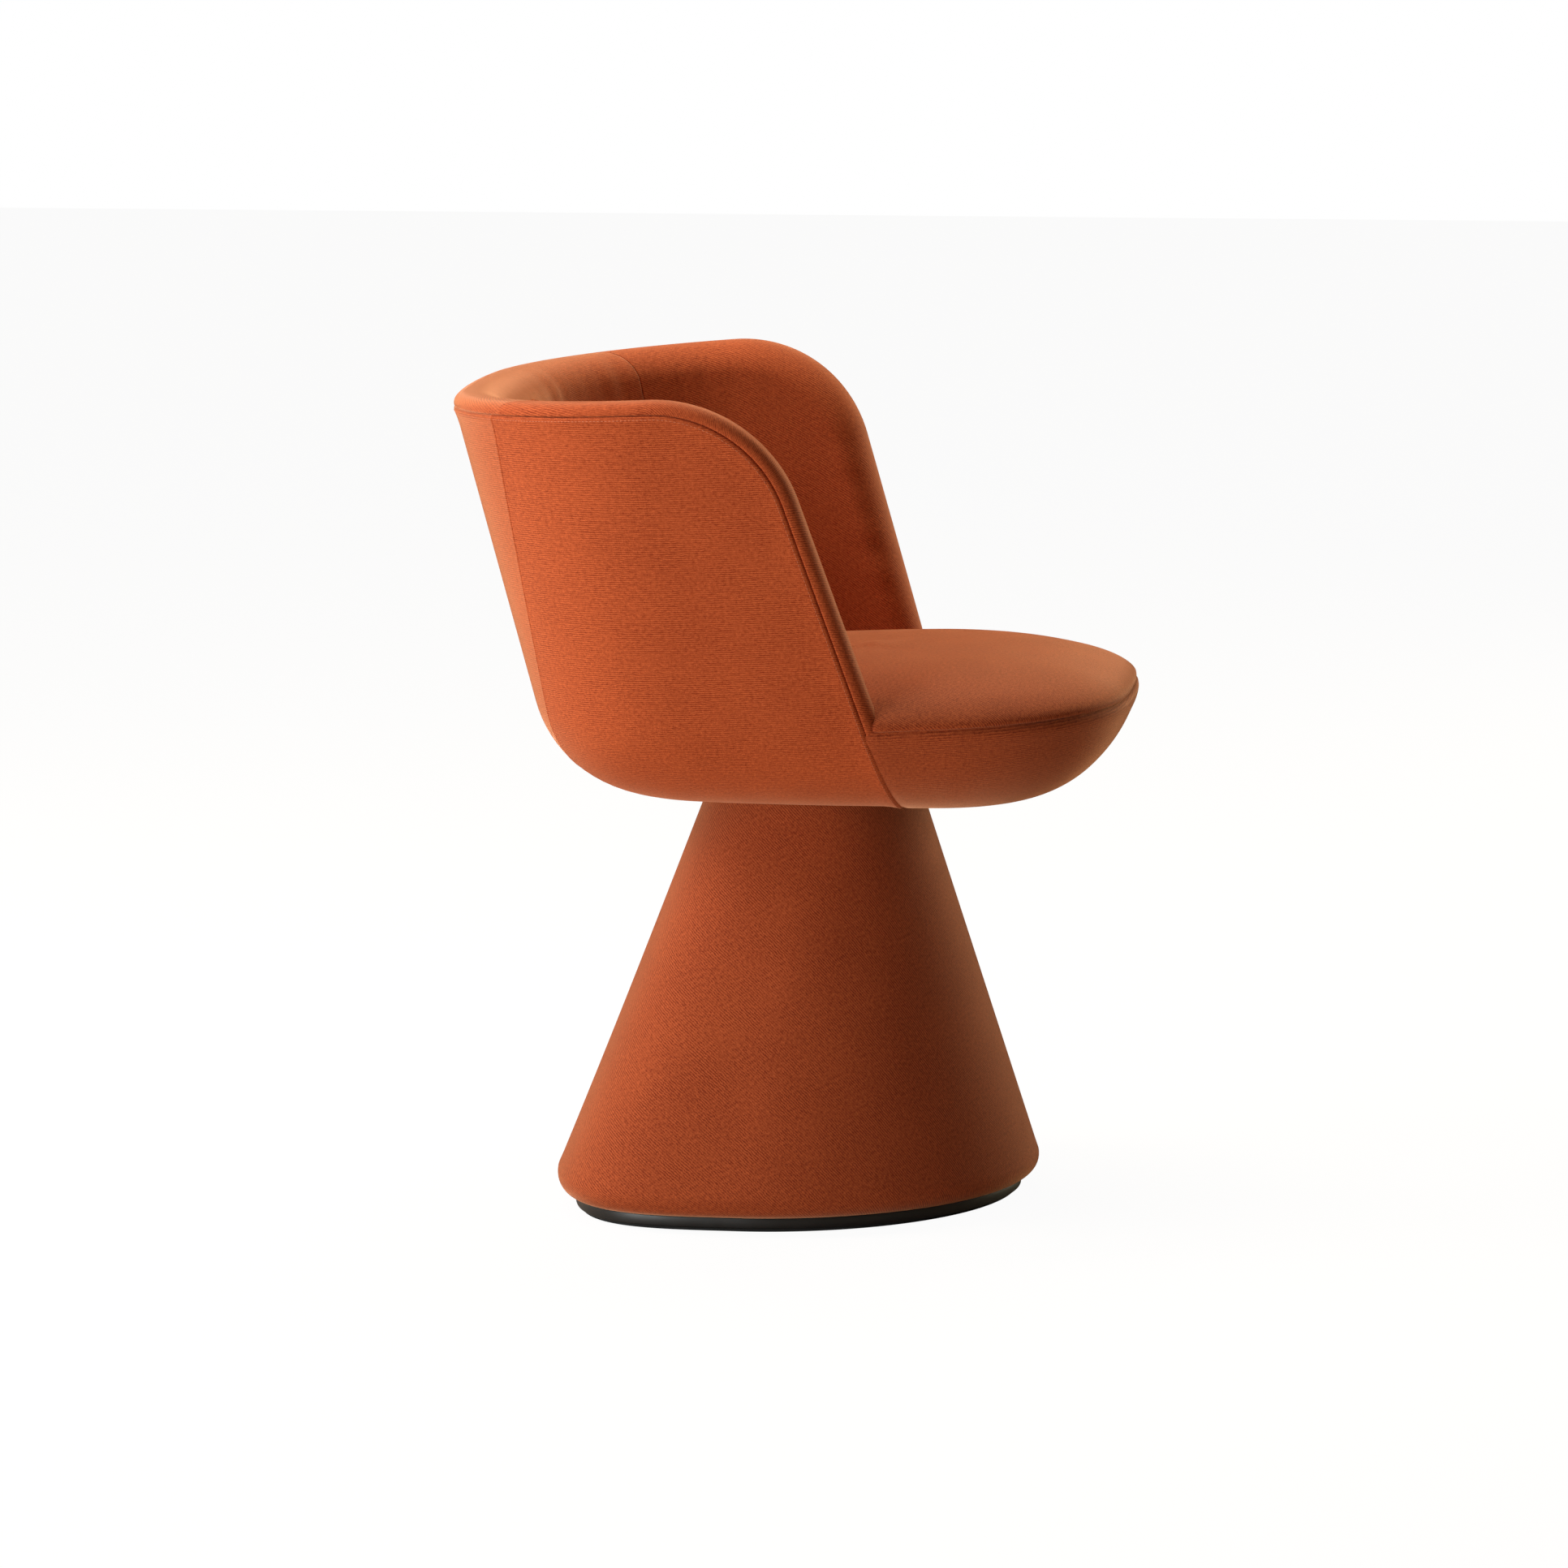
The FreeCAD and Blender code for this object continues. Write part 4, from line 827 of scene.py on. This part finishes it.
def noise(nodes, links, vector, scale, detail=2.0, roughness=0.5):
    node = nodes.new("ShaderNodeTexNoise")
    node.inputs["Scale"].default_value = scale
    node.inputs["Detail"].default_value = detail
    node.inputs["Roughness"].default_value = roughness
    links.new(vector, node.inputs["Vector"])
    return node.outputs["Fac"]


def weave_group():
    group = bpy.data.node_groups.new("wool twill", "ShaderNodeTree")
    face = group.interface
    face.new_socket("Cloth", in_out="INPUT", socket_type="NodeSocketVector")
    for label, default in (("Rib Pitch", RIB_PITCH), ("Rib Angle", 0.8), ("Contrast", 1.0)):
        face.new_socket(label, in_out="INPUT", socket_type="NodeSocketFloat").default_value = default
    for label, default in (("Deep", (0.30, 0.05, 0.015, 1)), ("Bright", (0.55, 0.15, 0.06, 1))):
        face.new_socket(label, in_out="INPUT", socket_type="NodeSocketColor").default_value = default
    face.new_socket("Color", in_out="OUTPUT", socket_type="NodeSocketColor")
    for label in ("Height", "Roughness"):
        face.new_socket(label, in_out="OUTPUT", socket_type="NodeSocketFloat")
    nodes, links = group.nodes, group.links
    given, result = nodes.new("NodeGroupInput"), nodes.new("NodeGroupOutput")
    cloth, pitch, angle = given.outputs["Cloth"], given.outputs["Rib Pitch"], given.outputs["Rib Angle"]

    def calc(operation, first, second=None):
        return math_node(nodes, links, operation, first, second)

    split = nodes.new("ShaderNodeSeparateXYZ")
    links.new(cloth, split.inputs[0])
    u, v = split.outputs[0], split.outputs[1]
    cos, sin = calc("COSINE", angle), calc("SINE", angle)
    across = calc("SUBTRACT", calc("MULTIPLY", v, cos), calc("MULTIPLY", u, sin))
    along = calc("ADD", calc("MULTIPLY", u, cos), calc("MULTIPLY", v, sin))
    wander = noise(nodes, links, cloth, WANDER_SCALE)
    across = calc("ADD", across, calc("MULTIPLY", calc("SUBTRACT", wander, 0.5), WANDER))
    rib_turn = calc("MULTIPLY", calc("DIVIDE", across, pitch), 2 * math.pi)
    rib = calc("ADD", calc("MULTIPLY", calc("SINE", rib_turn), 0.5), 0.5)
    yarn_turn = calc("MULTIPLY", calc("DIVIDE", along, calc("MULTIPLY", pitch, 0.8)), 2 * math.pi)
    yarn = calc("ADD", calc("MULTIPLY", calc("SINE", calc("ADD", yarn_turn, rib_turn)), 0.5), 0.5)
    hairs = noise(nodes, links, cloth, HAIR_SCALE, 3.0, 0.65)
    heather = noise(nodes, links, cloth, HEATHER_SCALE, 2.0, 0.6)
    cloud = noise(nodes, links, cloth, CLOUD_SCALE, 2.0, 0.5)
    # The ribs show in patches, because the nap hides them elsewhere
    patch = nodes.new("ShaderNodeMapRange")
    links.new(noise(nodes, links, cloth, PATCH_SCALE, 2.0, 0.6), patch.inputs["Value"])
    for label, number in (("From Min", 0.36), ("From Max", 0.64), ("To Min", 0.25), ("To Max", 1.0)):
        patch.inputs[label].default_value = number
    yarns = calc("MULTIPLY", calc("MULTIPLY", rib, yarn), YARN_SHARE)
    weave = calc("ADD", calc("MULTIPLY", rib, RIB_SHARE), yarns)
    weave = calc("MULTIPLY", calc("SUBTRACT", weave, WEAVE_MEAN), patch.outputs["Result"])
    mixed = calc("ADD", calc("MULTIPLY", calc("SUBTRACT", hairs, 0.5), HAIR_SHARE),
                 calc("MULTIPLY", calc("SUBTRACT", heather, 0.5), HEATHER_SHARE))
    clouds = calc("MULTIPLY", calc("SUBTRACT", cloud, 0.5), CLOUD_SHARE)
    tone = calc("ADD", calc("ADD", weave, mixed), clouds)
    share = nodes.new("ShaderNodeMath")
    share.operation = "MULTIPLY_ADD"
    share.use_clamp = True
    links.new(tone, share.inputs[0])
    links.new(given.outputs["Contrast"], share.inputs[1])
    share.inputs[2].default_value = 0.5
    colour = nodes.new("ShaderNodeMix")
    colour.data_type = "RGBA"
    links.new(share.outputs[0], colour.inputs["Factor"])
    links.new(given.outputs["Deep"], colour.inputs[6])
    links.new(given.outputs["Bright"], colour.inputs[7])
    links.new(colour.outputs[2], result.inputs["Color"])
    height = calc("ADD", weave, calc("MULTIPLY", hairs, 0.5))
    links.new(height, result.inputs["Height"])
    links.new(calc("ADD", calc("MULTIPLY", hairs, 0.16), 0.74), result.inputs["Roughness"])
    return group


WEAVE = weave_group()
DEEP, BRIGHT = (0.222, 0.027, 0.0058), (0.57, 0.110, 0.031)
SHEEN_TINT = (1.0, 0.50, 0.28, 1)


def new_material(name):
    material = bpy.data.materials.new(name)
    material.use_nodes = True
    nodes = material.node_tree.nodes
    return material, nodes, material.node_tree.links, nodes["Principled BSDF"]


def wool(name, rib_angle, sheen, contrast=1.7, shade=1.0):
    """Wool twill with its ribs at an angle on the cloth. The nap decides its sheen; a shade below one darkens
    its colours as painted shade.
    """
    material, nodes, links, shader = new_material(name)
    cloth = nodes.new("ShaderNodeUVMap")
    cloth.uv_map = "cloth"
    weave = nodes.new("ShaderNodeGroup")
    weave.node_tree = WEAVE
    weave.inputs["Rib Angle"].default_value = rib_angle
    weave.inputs["Rib Pitch"].default_value = RIB_PITCH
    weave.inputs["Contrast"].default_value = contrast
    # A shade below one darkens both colours of the twill: painted shade, not a colour of the cloth
    weave.inputs["Deep"].default_value = (*(shade * part for part in DEEP), 1)
    weave.inputs["Bright"].default_value = (*(shade * part for part in BRIGHT), 1)
    links.new(cloth.outputs[0], weave.inputs["Cloth"])
    links.new(weave.outputs["Color"], shader.inputs["Base Color"])
    links.new(weave.outputs["Roughness"], shader.inputs["Roughness"])
    relief = nodes.new("ShaderNodeBump")
    relief.inputs["Strength"].default_value = 0.4
    relief.inputs["Distance"].default_value = 0.0006
    links.new(weave.outputs["Height"], relief.inputs["Height"])
    links.new(relief.outputs["Normal"], shader.inputs["Normal"])
    shader.inputs["Specular IOR Level"].default_value = 0.12
    shader.inputs["Sheen Weight"].default_value = sheen
    shader.inputs["Sheen Roughness"].default_value = 0.42
    shader.inputs["Sheen Tint"].default_value = SHEEN_TINT
    return material


# The nap is taken to lie another way on each piece, so each has its own sheen. The seat, band and cone get
# darker copies of the same wool: painted shade that stands in for the shade falling on them
panel_wool = wool("side panel wool", 0.06, 0.36)
back_wool = wool("back panel wool", 0.06, 1.0)
lining_wool = wool("inner arm wool", 0.5, 0.42)
inner_back_wool = wool("inner back wool", 0.5, 0.95)
seat_wool = wool("seat wool", 1.1, 0.55, 2.8, 0.76)
band_wool = wool("band wool", 0.06, 0.68, shade=0.78)
sleeve_wool = wool("cone wool", -1.23, 0.75, 2.2, 0.78)
print("wool materials ready")

# %% [markdown]
# ## Other finishes
# Thread, black lacquer, felt and lining show at the edges. The plywood, plastic and metal inside are seen
# only when the model is taken apart, and get grain and brushing of their own. So does the foam, which the
# padded covers stand for.

# %% Plain finishes
def mottled(name, dark, light, scale, rough, relief=0.2, depth=0.0005, metal=0.0, stretch=(1, 1, 1)):
    """Material whose colour, roughness and relief follow one stretched noise in Object coordinates."""
    material, nodes, links, shader = new_material(name)
    place = nodes.new("ShaderNodeTexCoord")
    turn = nodes.new("ShaderNodeMapping")
    turn.inputs["Scale"].default_value = stretch
    links.new(place.outputs["Object"], turn.inputs["Vector"])
    grain = noise(nodes, links, turn.outputs["Vector"], scale, 4.0, 0.6)
    colour = nodes.new("ShaderNodeMix")
    colour.data_type = "RGBA"
    colour.inputs[6].default_value = (*dark, 1)
    colour.inputs[7].default_value = (*light, 1)
    links.new(grain, colour.inputs["Factor"])
    links.new(colour.outputs[2], shader.inputs["Base Color"])
    links.new(math_node(nodes, links, "ADD", math_node(nodes, links, "MULTIPLY", grain, 0.2), rough - 0.1),
              shader.inputs["Roughness"])
    raised = nodes.new("ShaderNodeBump")
    raised.inputs["Strength"].default_value = relief
    raised.inputs["Distance"].default_value = depth
    links.new(grain, raised.inputs["Height"])
    links.new(raised.outputs["Normal"], shader.inputs["Normal"])
    shader.inputs["Metallic"].default_value = metal
    return material


thread_material = mottled("sewing thread", (0.40, 0.09, 0.03), (0.66, 0.20, 0.09), 900, 0.7)
FINISHES = {
    "plinth_black": mottled("black lacquer", (0.004, 0.004, 0.004), (0.010, 0.010, 0.009), 60, 0.45, 0.1),
    "felt": mottled("black felt", (0.006, 0.006, 0.006), (0.02, 0.02, 0.02), 700, 0.95, 0.5),
    "lining": mottled("non-woven lining", (0.008, 0.008, 0.008), (0.024, 0.024, 0.024), 500, 0.9, 0.4),
    "plywood": mottled("birch plywood", (0.40, 0.26, 0.14), (0.66, 0.50, 0.32), 30, 0.6, 0.2, 0.0004, 0,
                       (1, 1, 14)),
    "moulded_block": mottled("pressed wood", (0.30, 0.20, 0.11), (0.52, 0.38, 0.24), 220, 0.7),
    "cone_plastic": mottled("black plastic", (0.015, 0.015, 0.015), (0.03, 0.03, 0.03), 300, 0.55),
    "foam": mottled("open-cell foam", (0.66, 0.60, 0.42), (0.86, 0.82, 0.66), 600, 0.9, 0.6),
    "steel": mottled("bright steel", (0.42, 0.42, 0.43), (0.62, 0.62, 0.63), 90, 0.35, 0.1, 0.0002, 1,
                     (1, 1, 20)),
    "dark_steel": mottled("black powder coat", (0.012, 0.012, 0.012), (0.03, 0.03, 0.03), 800, 0.5, 0.3),
    "bush_plastic": mottled("acetal", (0.62, 0.61, 0.57), (0.78, 0.77, 0.73), 150, 0.45),
}
print(len(FINISHES), "plain finishes ready")

# %% [markdown]
# ## Sew and assign
# Stitch rows lie on the panels' own rows of points, so they follow every bend of the edge. Then each
# piece gets its cloth, the body it moves with and the solids that it stands for.

# %% Stitches and riding
TOPSTITCH = {"Pitch": 0.0036, "Length": 0.0026, "Width": 0.0007}
BAND_STITCH_ROW, BAND_ENDS = 3, 8
lip_row = both_sides(outer_half[LIP_ROW:LIP_ROW + 1])[0]
lip_stitches = stitch_row("edge_stitches", [lip_row], **TOPSTITCH)
rim_row = band_points[BAND_STITCH_ROW][BAND_ENDS:-BAND_ENDS]
rim_stitches = stitch_row("rim_stitches", [rim_row], **TOPSTITCH)

COVERS = [
    (outer_back, back_wool, ["outer_back_cover"]),
    (outer_left, panel_wool, ["outer_side_cover_left"]),
    (outer_right, panel_wool, ["outer_side_cover_right"]),
    (inner_back, inner_back_wool, ["inner_back_cover", "back_foam"]),
    (inner_left, lining_wool, ["inner_arm_cover_left"]),
    (inner_right, lining_wool, ["inner_arm_cover_right"]),
    (seat_pad, seat_wool, ["seat_top_cover", "seat_foam"]),
    (seat_band, band_wool, ["seat_band_cover"]),
    (cone_sleeve, sleeve_wool, ["cone_cover"]),
]
for piece, cloth, nodes in COVERS:
    piece.data.materials.append(cloth)
    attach(piece, "pedestal" if piece is cone_sleeve else "seat")
    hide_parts(*nodes)
for piece in (lip_stitches, rim_stitches):
    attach(piece, "seat")
for piece, finish, node in ((plinth_board, "plinth_black", "plinth"), (felt_sheet, "felt", "floor_pad"),
                            (cone_liner, "cone_plastic", "cone_shell")):
    piece.data.materials.append(FINISHES[finish])
    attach(piece, "pedestal")
    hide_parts(node)
slot_of = {row["node"]: row["material_slot"] for row in frame["record"]["subparts"]}
for name, node in frame["nodes"].items():
    if slot_of[name] in FINISHES:
        node.data.materials.clear()
        node.data.materials.append(FINISHES[slot_of[name]])
print(len(COVERS), "covers on; stitches:", len(lip_stitches.data.polygons), len(rim_stitches.data.polygons))

# %% [markdown]
# ## Studio
# Five soft lights stand round the chair. The strongest is a wide, low window to the left of the camera,
# behind the chair's back. One stands further round behind the back, and one above it for the rolled edge.
# One on the far side, before the seat, lights the right rims, and one hangs overhead for the seat. The floor
# and the world are white to the camera and give only a little warm light of their own.

# %% Floor, world and lights
FLOOR_HALF, FLOOR_COLOUR = 12, (0.60, 0.53, 0.46, 1)
FLOOR_GLOW, FLOOR_WHITE = 1.06, 0.90
FILL, FILL_TINT = 0.075, (1, 0.74, 0.52, 1)


def white_floor():
    mesh = bpy.data.meshes.new("studio floor")
    corners = [(x * FLOOR_HALF, y * FLOOR_HALF, 0) for x, y in ((-1, -1), (1, -1), (1, 1), (-1, 1))]
    mesh.from_pydata(corners, [], [(0, 1, 2, 3)])
    floor = bpy.data.objects.new("studio floor", mesh)
    floor.location.z = -0.0002
    scene.collection.objects.link(floor)
    material = bpy.data.materials.new("studio floor")
    material.use_nodes = True
    nodes, links = material.node_tree.nodes, material.node_tree.links
    nodes.clear()
    path, plain = nodes.new("ShaderNodeLightPath"), nodes.new("ShaderNodeBsdfDiffuse")
    plain.inputs["Color"].default_value = FLOOR_COLOUR
    glow, mix = nodes.new("ShaderNodeEmission"), nodes.new("ShaderNodeMixShader")
    out = nodes.new("ShaderNodeOutputMaterial")
    seen = math_node(nodes, links, "MULTIPLY", path.outputs["Is Camera Ray"], FLOOR_WHITE)
    links.new(seen, mix.inputs["Fac"])
    glow.inputs["Strength"].default_value = FLOOR_GLOW
    links.new(plain.outputs[0], mix.inputs[1])
    links.new(glow.outputs[0], mix.inputs[2])
    links.new(mix.outputs[0], out.inputs["Surface"])
    mesh.materials.append(material)


def white_world(strength):
    world = bpy.data.worlds.new("studio")
    world.use_nodes = True
    scene.world = world
    nodes, links = world.node_tree.nodes, world.node_tree.links
    nodes.clear()
    path = nodes.new("ShaderNodeLightPath")
    seen = math_node(nodes, links, "MULTIPLY", path.outputs["Is Camera Ray"], 1 - strength)
    shade, tint = nodes.new("ShaderNodeBackground"), nodes.new("ShaderNodeMix")
    tint.data_type = "RGBA"
    tint.inputs[6].default_value = FILL_TINT
    tint.inputs[7].default_value = (1, 1, 1, 1)
    links.new(path.outputs["Is Camera Ray"], tint.inputs["Factor"])
    links.new(tint.outputs[2], shade.inputs["Color"])
    links.new(math_node(nodes, links, "ADD", seen, strength), shade.inputs["Strength"])
    out = nodes.new("ShaderNodeOutputWorld")
    links.new(shade.outputs[0], out.inputs["Surface"])


def soft_light(name, place, aim, width, height, power, colour=(1, 1, 1)):
    data = bpy.data.lights.new(name, "AREA")
    data.shape = "RECTANGLE"
    data.size, data.size_y, data.energy, data.color = width, height, power, colour
    lamp = bpy.data.objects.new(name, data)
    lamp.location = place
    lamp.rotation_euler = (Vector(place) - Vector(aim)).to_track_quat("Z", "Y").to_euler()
    scene.collection.objects.link(lamp)


white_floor()
white_world(FILL)
soft_light("window light", (-2.8, 2.2, 0.5), (0, 0, 0.5), 1.8, 0.8, 78, (0.97, 1, 1))
soft_light("back window", (0.7, 3.3, 1.1), (0, 0, 0.5), 1.4, 1.6, 30, (1, 0.97, 0.93))
soft_light("upper window", (-0.4, 2.3, 2.3), (0, 0.1, 0.6), 1.2, 1.2, 66, (1, 0.97, 0.90))
soft_light("far window", (2.8, -2.5, 0.9), (0, 0, 0.4), 1.4, 1.6, 66, (1, 0.95, 0.66))
soft_light("ceiling light", (0.6, 0.2, 2.3), (0, 0, 0.45), 1.4, 1.4, 35, (1, 1, 0.78))
scene.view_settings.view_transform = "Standard"
print("studio lit")
